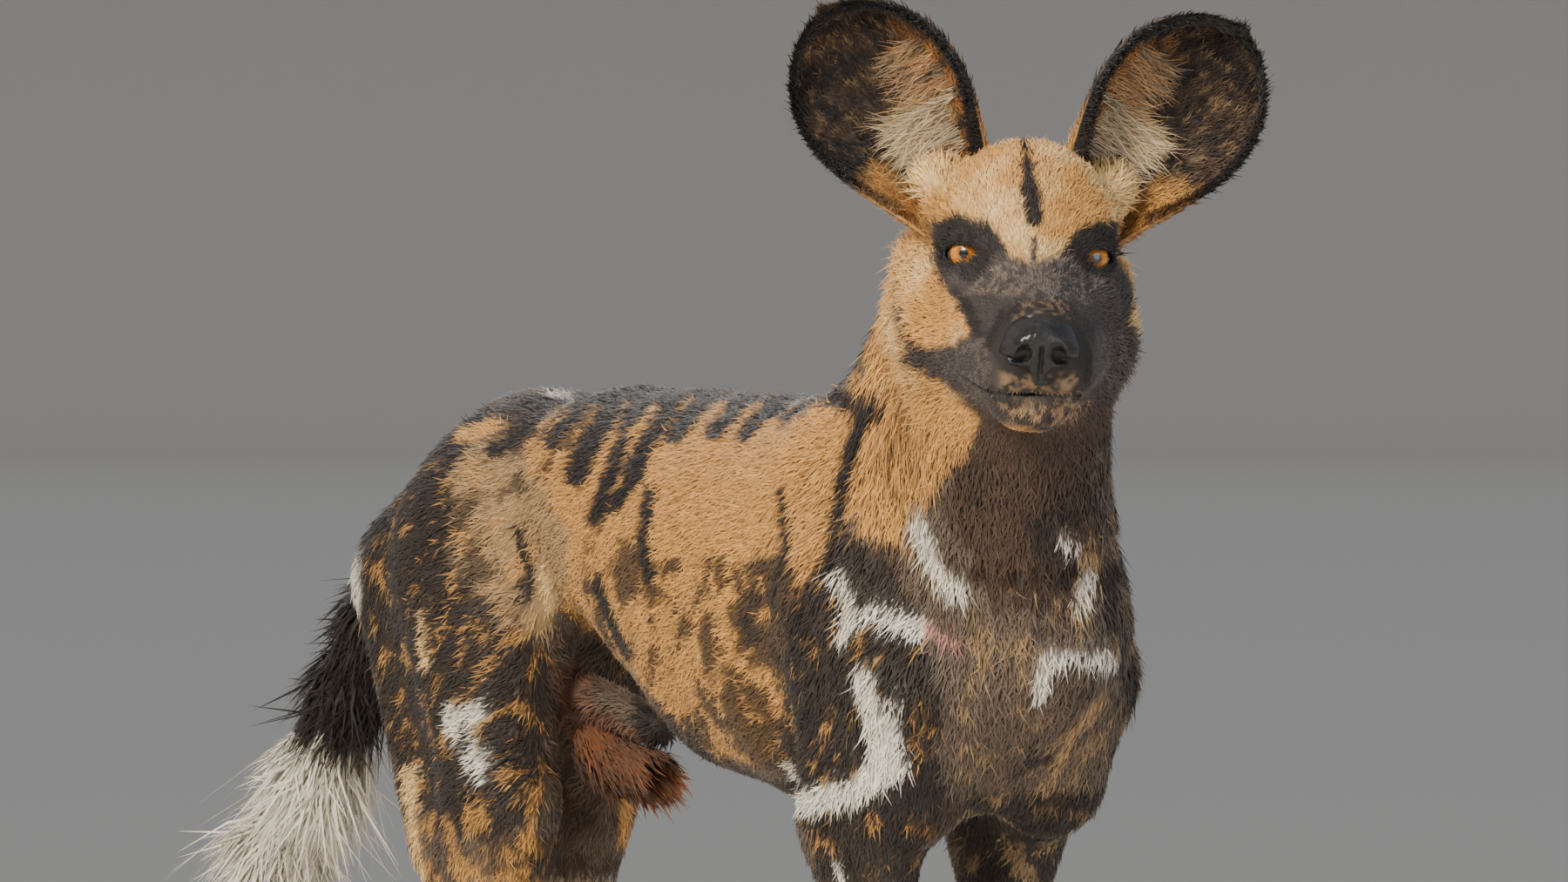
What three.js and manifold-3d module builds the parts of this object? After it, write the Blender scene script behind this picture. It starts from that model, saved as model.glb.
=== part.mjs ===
// African wild dog, adult male, standing: a life-size still model in millimetres.
// +X runs from rump to chest, +Y to the animal's left, +Z up; the paws stand on the floor at Z = 0.
// One smooth flesh surface is described by named muscles, and is parted into body nodes by thin cuts.

import * as THREE from "three";
import { mergeVertices } from "three/addons/utils/BufferGeometryUtils.js";
import Module from "manifold-3d";

const wasm = await Module();
wasm.setup();

// Driving sizes
const GAP = 0.3;
const FINENESS = 0.12;
const LEG_TOP = 382;
const WRIST_HEIGHT = 158;
const HOCK_CUT = 222;
const FAR = 2000;

// Where the neck, head and tail sit
const NECK_BASE = { point: [255, 0, 590], normal: [0.5, 0, 0.866] };
const HEAD_CUT = { point: [-84, 0, -46], normal: [0.76, 0, 0.65] };
const EYES_MIDDLE = [384, -47, 741];
const HEAD_YAW = -26;
const HEAD_PITCH = 5;
const HEAD_ROLL = 2.3;

// Arm and thigh boxes: the cuts that part each upper leg from the torso
const ARM_BOX = { x: [165, 360], inner: 52, top: 545, tilt: 0 };
const THIGH_BOX = { x: [-420, -150], inner: 38, top: 566, tilt: 20 };

// Heights where the slices of the legs meet
const BELLY_CUT = 382;
const PAW_TOP = 66;

// Face: the eyeball's middle and size, the opening of its lids, the lips, nose and ears
const EYE = [-5, 34.5, 0];
const EYE_RADIUS = 11.6;
const EYE_OUTWARD = 0.36;
const EYE_SLANT = -0.1;
const EYE_OPENING = [11, 6.5, 6];
const LID_THICKNESS = 2;
const NOSE_BACK = 90;
const MOUTH_HEIGHT = -69;
const MOUTH_RISE = 12;
const MOUTH_DEPTH = 5;
const MOUTH_WIDTH = 1.6;
const MOUTH_SWEEP = 2.5;
const EAR_THICKNESS = 3.4;
// Rows of the ear from its root to its tip: height, half width, and how far the cup wraps round in degrees
const EAR_ROWS = [
  [-24, 24, 110],
  [-4, 29, 100],
  [14, 37, 80],
  [32, 45, 64],
  [50, 50, 54],
  [68, 51, 48],
  [86, 47, 44],
  [101, 38, 40],
  [112, 26, 36],
  [118, 13, 32],
  [120, 4, 30],
];
const CLAW_STATIONS = [
  [-9, 1, 4],
  [0, 1.5, 3.8],
  [6, 0, 3.1],
  [11, -4, 2.1],
  [14, -9, 0.7],
];

// The tail's middle line from the rump to the tip of the brush, and its radii
const TAIL_PATH = [
  [-335, 0, 576],
  [-395, -3, 556],
  [-440, -7, 523],
  [-468, -10, 485],
  [-498, -12, 440],
  [-540, -14, 392],
  [-574, -16, 340],
  [-596, -17, 292],
];
const TAIL_RADII = [24, 22, 21, 22, 20, 15, 12, 4];

// Locks of hair, in rows: of the brush, from where on the tail to where, how far out they slant and how long
const BRUSH = { rows: 6, around: 4, from: 0.5, to: 0.99, slant: 0.34, lengths: [72, 104], width: 23, thickness: 4 };
const BELLY_TUFT_PATH = [
  [-198, -2, 452],
  [-160, -4, 443],
  [-120, -4, 440],
];
const BELLY_TUFT = { rows: 3, around: 5, from: 0.1, to: 0.98, slant: 0.9, lengths: [24, 38], width: 13, thickness: 3 };
const BELLY_TUFT_RADII = [13, 13, 8];
const LOCK_DROOP = 0.22;
const LOCK_WIDTHS = [
  [0, 0.75, 1],
  [0.4, 1, 0.9],
  [0.75, 0.65, 0.55],
  [1, 0.07, 0.2],
];

// Joints of the legs: distance forward, sideways from the middle, and height
const SIDES = { left: 1, right: -1 };
const FORELEG = {
  left: { shoulder: [266, 58, 502], elbow: [184, 54, 402], wrist: [204, 49, 150], paw: [222, 51] },
  right: { shoulder: [268, 58, 502], elbow: [220, 58, 402], wrist: [244, 50, 150], paw: [266, 52] },
};
const HINDLEG = {
  left: { hip: [-290, 48, 540], knee: [-308, 56, 404], hock: [-436, 54, 186], paw: [-404, 54] },
  right: { hip: [-272, 50, 540], knee: [-196, 60, 404], hock: [-316, 57, 182], paw: [-282, 57] },
};

const headFrame = new THREE.Matrix4().compose(
  new THREE.Vector3(...EYES_MIDDLE),
  new THREE.Quaternion().setFromEuler(
    new THREE.Euler(
      THREE.MathUtils.degToRad(-HEAD_ROLL),
      THREE.MathUtils.degToRad(HEAD_PITCH),
      THREE.MathUtils.degToRad(HEAD_YAW),
      "ZYX",
    ),
  ),
  new THREE.Vector3(1, 1, 1),
);

// A muscle is a tapered round limb from a to b; thin is how much narrower it is along its thin axis.
function muscle(a, b, ra, rb, blend = 24, thin = 1, across = [0, 1, 0]) {
  return { a, b, ra, rb, blend, thin, across };
}

function inHead(m) {
  const place = (p) => new THREE.Vector3(...p).applyMatrix4(headFrame).toArray();
  const turn = (p) => new THREE.Vector3(...p).transformDirection(headFrame).toArray();
  return { ...m, a: place(m.a), b: place(m.b), across: turn(m.across) };
}

function muscleDistance(m, x, y, z) {
  const [ax, ay, az] = m.a;
  const ux = m.b[0] - ax;
  const uy = m.b[1] - ay;
  const uz = m.b[2] - az;
  const length2 = ux * ux + uy * uy + uz * uz || 1;
  const along = ((x - ax) * ux + (y - ay) * uy + (z - az) * uz) / length2;
  const t = Math.min(1, Math.max(0, along));
  let qx = x - ax - t * ux;
  let qy = y - ay - t * uy;
  let qz = z - az - t * uz;
  const side = (qx * m.across[0] + qy * m.across[1] + qz * m.across[2]) * (m.thin - 1);
  qx += side * m.across[0];
  qy += side * m.across[1];
  qz += side * m.across[2];
  return Math.hypot(qx, qy, qz) - (m.ra + t * (m.rb - m.ra));
}

function smoothMin(a, b, k) {
  const h = Math.max(k - Math.abs(a - b), 0) / k;
  return Math.min(a, b) - (h * h * k) / 4;
}

function fieldOf(muscles) {
  return (x, y, z) => {
    let d = FAR;
    for (const m of muscles) d = smoothMin(d, muscleDistance(m, x, y, z), m.blend);
    return d;
  };
}

// Trunk, from the front of the chest to the rump
const trunk = [
  muscle([255, 0, 550], [110, 0, 541], 96, 118, 30, 1.34),
  muscle([110, 0, 541], [15, 0, 549], 118, 110, 30, 1.34),
  muscle([15, 0, 549], [-70, 0, 573], 110, 88, 30, 1.3),
  muscle([-70, 0, 573], [-140, 0, 590], 88, 70, 30, 1.2),
  muscle([-140, 0, 590], [-250, 0, 584], 70, 74, 30, 1.1),
  muscle([-250, 0, 584], [-325, 0, 566], 74, 60, 30, 1.05),
  muscle([-325, 0, 575], [-352, 0, 560], 46, 40, 30),
  muscle([318, 0, 530], [255, 0, 465], 42, 44, 30),
  muscle([-205, 0, 478], [-120, 0, 462], 20, 17, 24),
];

const neck = [
  muscle([190, 0, 570], [334, -32, 702], 86, 62, 40, 1.15),
  muscle([140, 0, 608], [290, -26, 736], 44, 44, 40),
  muscle([304, 0, 530], [354, -38, 660], 56, 50, 40),
];

function foreleg(side) {
  const s = SIDES[side];
  const { shoulder, elbow, wrist, paw } = FORELEG[side];
  const at = ([x, y, z], dx = 0, dy = 0, dz = 0) => [x + dx, s * (y + dy), z + dz];
  return [
    muscle([160, s * 40, 605], at(shoulder), 44, 38, 34, 1.3),
    muscle([205, s * 56, 545], at(elbow, -4, 6, 30), 52, 38, 30, 1.25),
    muscle(at(shoulder), at(elbow, 4, 2, 14), 36, 40, 26, 1.15),
    muscle([284, s * 24, 505], at(shoulder, -14, -12, -60), 38, 34, 30),
    muscle(at(elbow, 2), at(wrist, 0, 0, 70), 38, 24, 16, 1.35),
    muscle(at(elbow, -30, 4, 16), at(elbow, -20, 2, -8), 14, 14, 16),
    muscle(at(wrist, 0, 0, 70), at(wrist), 24, 20, 14, 1.2),
    muscle(at(wrist), at(wrist, 3, 0, -22), 21, 19, 12, 1.08),
    muscle(at(wrist, 3, 0, -22), [paw[0] - 14, s * paw[1], 44], 19, 20, 12, 1.05),
    ...toes(paw[0], s * paw[1], 1),
  ];
}

function hindleg(side) {
  const s = SIDES[side];
  const { hip, knee, hock, paw } = HINDLEG[side];
  const at = ([x, y, z], dx = 0, dy = 0, dz = 0) => [x + dx, s * (y + dy), z + dz];
  return [
    muscle(at(hip, 20, -8, 10), at(knee, -6, 0, 22), 80, 46, 30, 1.5),
    muscle(at(hip, -66, -8, 2), at(knee, -62, 0, -12), 46, 34, 30, 1.2),
    muscle(at(knee, -4, 0, 8), at(knee, -34, 0, -70), 46, 40, 24, 1.5),
    muscle(at(knee, -34, 0, -70), at(hock, 10, 0, 44), 40, 22, 20, 1.3),
    muscle(at(hock, 10, 0, 44), at(hock), 22, 20, 14, 1.2),
    muscle(at(hock, 6, 0, 100), at(hock, -22, 0, 20), 14, 11, 12, 1.2),
    muscle(at(hock, -20, 0, 16), at(hock, -8, 0, -30), 13, 14, 12),
    muscle(at(hock, -2, 0, -4), [paw[0] - 16, s * paw[1], 44], 20, 19, 12, 1.15),
    ...toes(paw[0], s * paw[1], 0.94),
  ];
}

// Four toes and the pads of one paw round a place on the floor
function toes(x, y, size) {
  const at = (dx, dy, z) => [x + dx * size, y + dy * size, z * size];
  const found = [
    muscle(at(-16, 0, 42), at(6, 0, 22), 20 * size, 19 * size, 10, 0.92),
    muscle(at(-20, 0, 12), at(-8, 0, 12), 15 * size, 15 * size, 6, 0.9),
  ];
  for (const side of [-1, 1]) {
    found.push(muscle(at(10, 9 * side, 23), at(38, 9.5 * side, 8.5), 11 * size, 10 * size, 3));
    found.push(muscle(at(4, 19 * side, 19), at(25, 25 * side, 8), 10.5 * size, 9.5 * size, 3));
  }
  return found;
}

// Head muscles in the head's own frame: x along the muzzle, y to the left, z up, from between the eyes
const head = [
  muscle([-86, 0, 12], [-30, 0, 20], 43, 40, 20, 0.93),
  muscle([-30, 0, 22], [10, 0, -4], 36, 28, 20, 0.92),
  muscle([-70, 0, -50], [10, 0, -56], 42, 28, 24),
  muscle([6, 0, -12], [84, 0, -33], 20, 14, 14, 0.9),
  muscle([58, 0, -78], [74, 0, -77], 12, 11, 12, 0.7),
];
for (const s of [-1, 1]) {
  head.push(
    muscle([-16, 29 * s, 12], [0, 27 * s, 8], 20, 15, 14),
    muscle([-72, 46 * s, -18], [2, 36 * s, -24], 20, 15, 18),
    muscle([-66, 42 * s, -46], [-24, 38 * s, -48], 28, 23, 22),
    muscle([6, 13 * s, -36], [76, 10 * s, -46], 28, 20, 14),
    muscle([4, 28 * s, -54], [74, 16 * s, -58], 18, 15, 12),
    muscle([-36, 28 * s, -70], [60, 8 * s, -77], 17, 12, 12),
    muscle([-54, 34 * s, 22], [-58, 46 * s, 32], 26, 20, 20),
  );
}
const headMuscles = head.map(inHead);

const flesh = fieldOf([
  ...trunk,
  ...neck,
  ...foreleg("left"),
  ...foreleg("right"),
  ...hindleg("left"),
  ...hindleg("right"),
  ...headMuscles,
]);

// The surface where a field is zero, on a grid of cells inside a box that stands in its own frame.
// Each cell that the surface crosses holds one vertex, which is then drawn onto the surface.
function surfaceOf(field, low, high, cell, frame = new THREE.Matrix4()) {
  const counts = low.map((l, i) => Math.ceil((high[i] - l) / cell[i]) + 1);
  const [nx, ny, nz] = counts;
  const point = new THREE.Vector3();
  const values = new Float64Array(nx * ny * nz);
  const index = (i, j, k) => (k * ny + j) * nx + i;
  const corner = (i, j, k) =>
    point
      .set(low[0] + i * cell[0], low[1] + j * cell[1], low[2] + k * cell[2])
      .applyMatrix4(frame);
  for (let k = 0; k < nz; k++)
    for (let j = 0; j < ny; j++)
      for (let i = 0; i < nx; i++) {
        const rim = !i || !j || !k || i === nx - 1 || j === ny - 1 || k === nz - 1;
        const p = corner(i, j, k);
        values[index(i, j, k)] = rim ? FAR : field(p.x, p.y, p.z);
      }
  settle(values, counts);
  const vertices = [];
  const vertexOf = new Int32Array(nx * ny * nz).fill(-1);
  for (let k = 0; k < nz - 1; k++)
    for (let j = 0; j < ny - 1; j++)
      for (let i = 0; i < nx - 1; i++) {
        const middle = new THREE.Vector3();
        let crossed = 0;
        for (const [a, b] of CELL_EDGES) {
          const va = values[index(i + a[0], j + a[1], k + a[2])];
          const vb = values[index(i + b[0], j + b[1], k + b[2])];
          if (va < 0 === vb < 0) continue;
          const t = va / (va - vb);
          middle.x += i + a[0] + t * (b[0] - a[0]);
          middle.y += j + a[1] + t * (b[1] - a[1]);
          middle.z += k + a[2] + t * (b[2] - a[2]);
          crossed += 1;
        }
        if (!crossed) continue;
        middle.divideScalar(crossed);
        vertexOf[index(i, j, k)] = vertices.length / 3;
        vertices.push(...drawnOnto(field, corner(middle.x, middle.y, middle.z), Math.min(...cell)));
      }
  const triangles = [];
  const quad = (a, b, c, d, flip) => {
    const [p, q, r, s] = [a, b, c, d].map((at) => vertexOf[index(...at)]);
    triangles.push(...(flip ? [p, r, q, p, s, r] : [p, q, r, p, r, s]));
  };
  for (let k = 0; k < nz - 1; k++)
    for (let j = 0; j < ny - 1; j++)
      for (let i = 0; i < nx - 1; i++) {
        const inside = values[index(i, j, k)] < 0;
        if (inside !== values[index(i + 1, j, k)] < 0)
          quad([i, j - 1, k - 1], [i, j, k - 1], [i, j, k], [i, j - 1, k], !inside);
        if (inside !== values[index(i, j + 1, k)] < 0)
          quad([i - 1, j, k - 1], [i - 1, j, k], [i, j, k], [i, j, k - 1], !inside);
        if (inside !== values[index(i, j, k + 1)] < 0)
          quad([i - 1, j - 1, k], [i, j - 1, k], [i, j, k], [i - 1, j, k], !inside);
      }
  const found = new THREE.BufferGeometry();
  found.setAttribute("position", new THREE.Float32BufferAttribute(vertices, 3));
  found.setIndex(triangles);
  return solid(found);
}
const CELL_CORNERS = [0, 1].flatMap((k) => [0, 1].flatMap((j) => [0, 1].map((i) => [i, j, k])));
const CELL_EDGES = CELL_CORNERS.flatMap((a) =>
  [0, 1, 2]
    .filter((axis) => !a[axis])
    .map((axis) => [a, a.map((v, i) => (i === axis ? 1 : v))]),
);

// A cell is simple when its inner and its outer corners each hang together and no face has crossed corners.
const FACES = [0, 1, 2].flatMap((axis) => [0, 1].map((side) =>
  CELL_CORNERS.map((c, n) => (c[axis] === side ? n : -1)).filter((n) => n >= 0),
));
const SIMPLE = Array.from({ length: 256 }, (_, mask) => {
  const inner = (n) => (mask >> n) & 1;
  if (FACES.some(([a, b, c, d]) => inner(a) === inner(d) && inner(b) === inner(c) && inner(a) !== inner(b)))
    return false;
  return [0, 1].every((kind) => {
    const members = CELL_CORNERS.map((_, n) => n).filter((n) => inner(n) === kind);
    const reached = new Set(members.slice(0, 1));
    for (const n of reached)
      for (const m of members)
        if (CELL_CORNERS[n].filter((v, i) => v !== CELL_CORNERS[m][i]).length === 1) reached.add(m);
    return reached.size === members.length;
  });
});

// Fills the shallowest outer corner of each cell that is not simple, until the surface is one clean sheet.
function settle(values, [nx, ny, nz]) {
  let changed = true;
  while (changed) {
    changed = false;
    for (let k = 0; k < nz - 1; k++)
      for (let j = 0; j < ny - 1; j++)
        for (let i = 0; i < nx - 1; i++) {
          const at = CELL_CORNERS.map(([a, b, c]) => ((k + c) * ny + j + b) * nx + i + a);
          const mask = at.reduce((bits, n, corner) => bits | ((values[n] < 0) << corner), 0);
          if (SIMPLE[mask]) continue;
          const outer = at.filter((n) => values[n] >= 0).sort((a, b) => values[a] - values[b]);
          values[outer[0]] = -0.01;
          changed = true;
        }
  }
}

// Moves a point along the field's slope until it lies on the surface, if it is near it.
function drawnOnto(field, p, reach) {
  const step = 0.5;
  const start = p.clone();
  for (let n = 0; n < 4; n++) {
    const d = field(p.x, p.y, p.z);
    if (Math.abs(d) > reach) break;
    const slope = new THREE.Vector3(
      field(p.x + step, p.y, p.z) - d,
      field(p.x, p.y + step, p.z) - d,
      field(p.x, p.y, p.z + step) - d,
    ).divideScalar(step);
    p.addScaledVector(slope, -d / Math.max(slope.lengthSq(), 0.2));
  }
  const moved = p.clone().sub(start);
  return start.add(moved.clampLength(0, 0.4 * reach)).toArray();
}

// Solids: joins and cuts on closed meshes
function solid(geometry) {
  const plain = geometry.clone();
  plain.deleteAttribute("normal");
  plain.deleteAttribute("uv");
  const merged = mergeVertices(plain, 1e-4);
  return new wasm.Manifold(
    new wasm.Mesh({
      numProp: 3,
      vertProperties: merged.attributes.position.array,
      triVerts: new Uint32Array(merged.index.array),
    }),
  );
}

function largest(body) {
  return body.simplify(FINENESS).decompose().sort((a, b) => b.volume() - a.volume())[0];
}

function joined(pieces) {
  return pieces.reduce((all, next) => all.add(next));
}

// Everything on the far side of a plane from its normal, as a large block
function behind({ point, normal }, gap = GAP / 2) {
  const out = new THREE.Vector3(...normal).normalize();
  const turn = new THREE.Quaternion().setFromUnitVectors(new THREE.Vector3(0, 0, 1), out);
  const block = new THREE.BoxGeometry(FAR, FAR, FAR);
  block.applyQuaternion(turn);
  const middle = new THREE.Vector3(...point).addScaledVector(out, -FAR / 2 - gap);
  block.translate(middle.x, middle.y, middle.z);
  return solid(block);
}

function inFront({ point, normal }) {
  return behind({ point, normal: normal.map((v) => -v) });
}

const level = (height) => ({ point: [0, 0, height], normal: [0, 0, 1] });

function below(height) {
  return behind(level(height));
}

function above(height) {
  return inFront(level(height));
}

// The block that parts an arm or a thigh from the torso; grown is how much larger the torso's cut is
function legBlock({ x, inner, top, tilt }, s, grown) {
  const wide = FAR / 4;
  const size = [x[1] - x[0] + 2 * grown, wide, top - LEG_TOP + FAR / 4 + grown];
  const block = new THREE.BoxGeometry(...size);
  block.translate(0, s * (wide / 2), -size[2] / 2 + grown);
  block.rotateY(THREE.MathUtils.degToRad(-tilt));
  block.translate((x[0] + x[1]) / 2, s * (inner - grown), top);
  return solid(block);
}

function geometryOf(body) {
  const { vertProperties, triVerts, numProp } = body.getMesh();
  const positions = new Float32Array((vertProperties.length / numProp) * 3);
  for (let i = 0; i < positions.length; i++)
    positions[i] = vertProperties[Math.floor(i / 3) * numProp + (i % 3)];
  const geometry = new THREE.BufferGeometry();
  geometry.setAttribute("position", new THREE.BufferAttribute(positions, 3));
  geometry.setIndex(new THREE.BufferAttribute(triVerts, 1));
  return geometry;
}

// A closed skin over rows of rings, each ring a list of points, with a fan at each end
function loft(rings) {
  const count = rings[0].length;
  const points = rings.flat().map((p) => p.toArray());
  const centre = (ring) =>
    ring.reduce((sum, p) => sum.add(p), new THREE.Vector3()).divideScalar(count).toArray();
  const first = points.push(centre(rings[0])) - 1;
  const last = points.push(centre(rings[rings.length - 1])) - 1;
  const faces = [];
  for (let i = 0; i < count; i++) {
    const next = (i + 1) % count;
    for (let r = 0; r + 1 < rings.length; r++) {
      const a = r * count;
      const b = a + count;
      faces.push(a + i, a + next, b + next, a + i, b + next, b + i);
    }
    const top = (rings.length - 1) * count;
    faces.push(first, next, i, last, top + i, top + next);
  }
  return closed(points, faces);
}

function closed(points, faces) {
  const geometry = new THREE.BufferGeometry();
  geometry.setAttribute("position", new THREE.Float32BufferAttribute(points.flat(), 3));
  geometry.setIndex(faces);
  const made = solid(geometry);
  if (made.volume() > 0) return made;
  for (let i = 0; i < faces.length; i += 3) faces.splice(i, 3, faces[i], faces[i + 2], faces[i + 1]);
  geometry.setIndex(faces);
  return solid(geometry);
}

function ball(centre, radius, wide = 16, high = 10, scale = [1, 1, 1]) {
  const geometry = new THREE.SphereGeometry(radius, wide, high);
  geometry.scale(...scale);
  geometry.translate(...centre);
  return solid(geometry);
}

// A round tube whose sides lie on rings across a path; sides may differ per station
function tubeAlong(path, radii, sides) {
  const curve = new THREE.CatmullRomCurve3(path.map((p) => new THREE.Vector3(...p)));
  const stations = (path.length - 1) * 3;
  const rings = [];
  for (let n = 0; n <= stations; n++) {
    const t = n / stations;
    const at = curve.getPoint(t);
    const along = curve.getTangent(t);
    const across = new THREE.Vector3(0, 1, 0).cross(along).normalize();
    const up = along.clone().cross(across);
    const place = t * (radii.length - 1);
    const low = Math.min(Math.floor(place), radii.length - 2);
    const radius = THREE.MathUtils.lerp(radii[low], radii[low + 1], place - low);
    rings.push(
      Array.from({ length: sides }, (_, i) => {
        const angle = (2 * Math.PI * i) / sides;
        return at
          .clone()
          .addScaledVector(across, radius * Math.cos(angle))
          .addScaledVector(up, radius * Math.sin(angle));
      }),
    );
  }
  return loft(rings);
}

// One of four claws on a paw, curved down from the tip of its toe
// Numbers between 0 and 1 that are the same each time for one seed
function randomFrom(seed) {
  let state = seed;
  return () => {
    state = (state * 1664525 + 1013904223) % 4294967296;
    return state / 4294967296;
  };
}

// One flat lock: a blade that starts at its root, widens, bends down towards its tip and tapers off
function lock(root, way, outward, length, width, thickness) {
  const across = new THREE.Vector3().crossVectors(way, outward).normalize();
  const rings = LOCK_WIDTHS.map(([t, wide, thick]) => {
    const at = root.clone().addScaledVector(way, length * t);
    at.addScaledVector(outward, -LOCK_DROOP * length * t * t);
    const half = (width / 2) * wide;
    const deep = (thickness / 2) * thick;
    return [[-1, 0], [0, -1], [1, 0], [0, 1]].map(([a, b]) =>
      at.clone().addScaledVector(across, a * half).addScaledVector(outward, b * deep),
    );
  });
  return loft(rings);
}

// Rows of locks round a path, rooted inside its core and laid along it, each row turned against the last
function locksAlong(path, coreRadii, kind, seed) {
  const random = randomFrom(seed);
  const curve = new THREE.CatmullRomCurve3(path.map((p) => new THREE.Vector3(...p)));
  const pieces = [];
  for (let row = 0; row < kind.rows; row++) {
    for (let n = 0; n < kind.around; n++) {
      const spread = (row + 0.5 * random()) / kind.rows;
      const t = kind.from + (kind.to - kind.from) * Math.min(1, spread);
      const along = curve.getTangent(t);
      const first = new THREE.Vector3(0, 1, 0).cross(along).normalize();
      const second = along.clone().cross(first);
      const angle = (2 * Math.PI * (n + 0.5 * (row % 2) + 0.3 * (random() - 0.5))) / kind.around;
      const outward = first.multiplyScalar(Math.cos(angle)).addScaledVector(second, Math.sin(angle));
      const place = t * (coreRadii.length - 1);
      const low = Math.min(Math.floor(place), coreRadii.length - 2);
      const core = THREE.MathUtils.lerp(coreRadii[low], coreRadii[low + 1], place - low);
      const root = curve.getPoint(t).addScaledVector(outward, core * 0.45);
      const slant = kind.slant * (0.75 + 0.5 * random());
      const way = along.clone().addScaledVector(outward, slant).normalize();
      const flat = outward.clone().addScaledVector(way, -outward.dot(way)).normalize();
      const length = THREE.MathUtils.lerp(...kind.lengths, random());
      const width = kind.width * (0.8 + 0.4 * random());
      pieces.push(lock(root, way, flat, length, width, kind.thickness));
    }
  }
  return joined(pieces);
}

function claw(x, y, size, n, grown) {
  const inner = n === 1 || n === 2;
  const side = n < 2 ? -1 : 1;
  const root = inner ? [40, 9.5 * side, 14] : [27, 25 * side, 13.5];
  const out = inner ? 0 : 0.35 * side;
  const rings = CLAW_STATIONS.map(([along, rise, radius]) => {
    const r = radius + grown;
    const ahead = along + (along > 0 ? grown : -grown);
    return Array.from({ length: 5 }, (_, i) => {
      const angle = (2 * Math.PI * (i + 0.5)) / 5;
      const across = r * 0.75 * Math.cos(angle);
      return new THREE.Vector3(
        x + (root[0] + ahead - out * across) * size,
        y + (root[1] + out * ahead + across) * size,
        (root[2] + rise + r * Math.sin(angle)) * size,
      );
    });
  });
  return loft(rings);
}

// Parts of the face, in the head's frame. The eye looks a little outwards.
const gaze = (s) => new THREE.Vector3(1, EYE_OUTWARD * s, 0.06).normalize();

function eyeball(s, radius) {
  const geometry = new THREE.SphereGeometry(radius, 14, 9);
  geometry.translate(EYE[0], EYE[1] * s, EYE[2]);
  return solid(geometry);
}

function lids(s) {
  return ball([EYE[0], EYE[1] * s, EYE[2]], EYE_RADIUS + LID_THICKNESS, 20, 14);
}

// The socket of the eye and the almond opening between its lids
function eyeOpening(s) {
  const look = gaze(s);
  const across = new THREE.Vector3(0, 0, 1).cross(look).normalize();
  const up = look.clone().cross(across);
  const centre = new THREE.Vector3(EYE[0], EYE[1] * s, EYE[2]);
  const ring = (reach, spread) =>
    Array.from({ length: 16 }, (_, i) => {
      const angle = (2 * Math.PI * i) / 16;
      const wide = Math.cos(angle) * EYE_OPENING[0] * spread;
      const taper = Math.sin(angle) > 0 ? EYE_OPENING[1] : EYE_OPENING[2];
      const high = Math.sin(angle) * Math.abs(Math.sin(angle)) ** 0.3 * taper * spread;
      const slant = wide * EYE_SLANT * s;
      return centre
        .clone()
        .addScaledVector(look, reach)
        .addScaledVector(across, wide)
        .addScaledVector(up, high + slant);
    });
  return eyeball(s, EYE_RADIUS + GAP).add(loft([ring(0, 1), ring(EYE_RADIUS, 1), ring(40, 1.6)]));
}

// The nose leather, and the two comma-shaped nostrils cut into it
function noseLeather(grown) {
  const pad = fieldOf([
    muscle([90, 0, -34], [99, 0, -37], 11, 10.5, 8),
    muscle([92, -8, -38], [98, -9, -42], 12, 10.5, 8),
    muscle([92, 8, -38], [98, 9, -42], 12, 10.5, 8),
    muscle([94, -15, -44], [90, -16, -46], 7, 7, 6),
    muscle([94, 15, -44], [90, 16, -46], 7, 7, 6),
    muscle([96, 0, -48], [97, 0, -62], 8, 3, 6),
  ]);
  const cut = (x, y, z) => Math.max(pad(x, y, z), NOSE_BACK - x - 0.5 * (z + 44)) - grown;
  return surfaceOf(cut, [74, -32, -72], [118, 32, -14], [6, 5.6, 5.6]);
}

function nostrils() {
  const holes = [];
  for (const s of [-1, 1]) {
    const path = [
      [114, 8 * s, -42],
      [104, 11 * s, -46],
      [99, 17 * s, -48],
      [92, 26 * s, -49],
    ];
    holes.push(tubeAlong(path, [3.8, 4.6, 3.2, 2.2], 8));
  }
  return joined(holes);
}

// The slit between the lips, from one corner of the mouth round the front to the other
function mouthLine() {
  const stations = 16;
  const headField = (x, y, z) => {
    const p = new THREE.Vector3(x, y, z).applyMatrix4(headFrame);
    return flesh(p.x, p.y, p.z);
  };
  const rings = [];
  for (let n = 0; n <= stations; n++) {
    const angle = (n / stations - 0.5) * MOUTH_SWEEP;
    const direction = new THREE.Vector3(Math.cos(angle), Math.sin(angle), 0);
    const back = Math.abs(2 * n / stations - 1);
    const height = MOUTH_HEIGHT + MOUTH_RISE * back ** 2.2;
    let reach = 20;
    while (reach < 200 && headField(direction.x * reach, direction.y * reach, height) < 0) reach += 0.5;
    const point = (r, z) => direction.clone().multiplyScalar(r).setZ(z);
    const half = MOUTH_WIDTH / 2;
    rings.push([
      point(reach - MOUTH_DEPTH, height - half),
      point(reach + 12, height - half),
      point(reach + 12, height + half),
      point(reach - MOUTH_DEPTH, height + half),
    ]);
  }
  return loft(rings);
}

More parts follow.
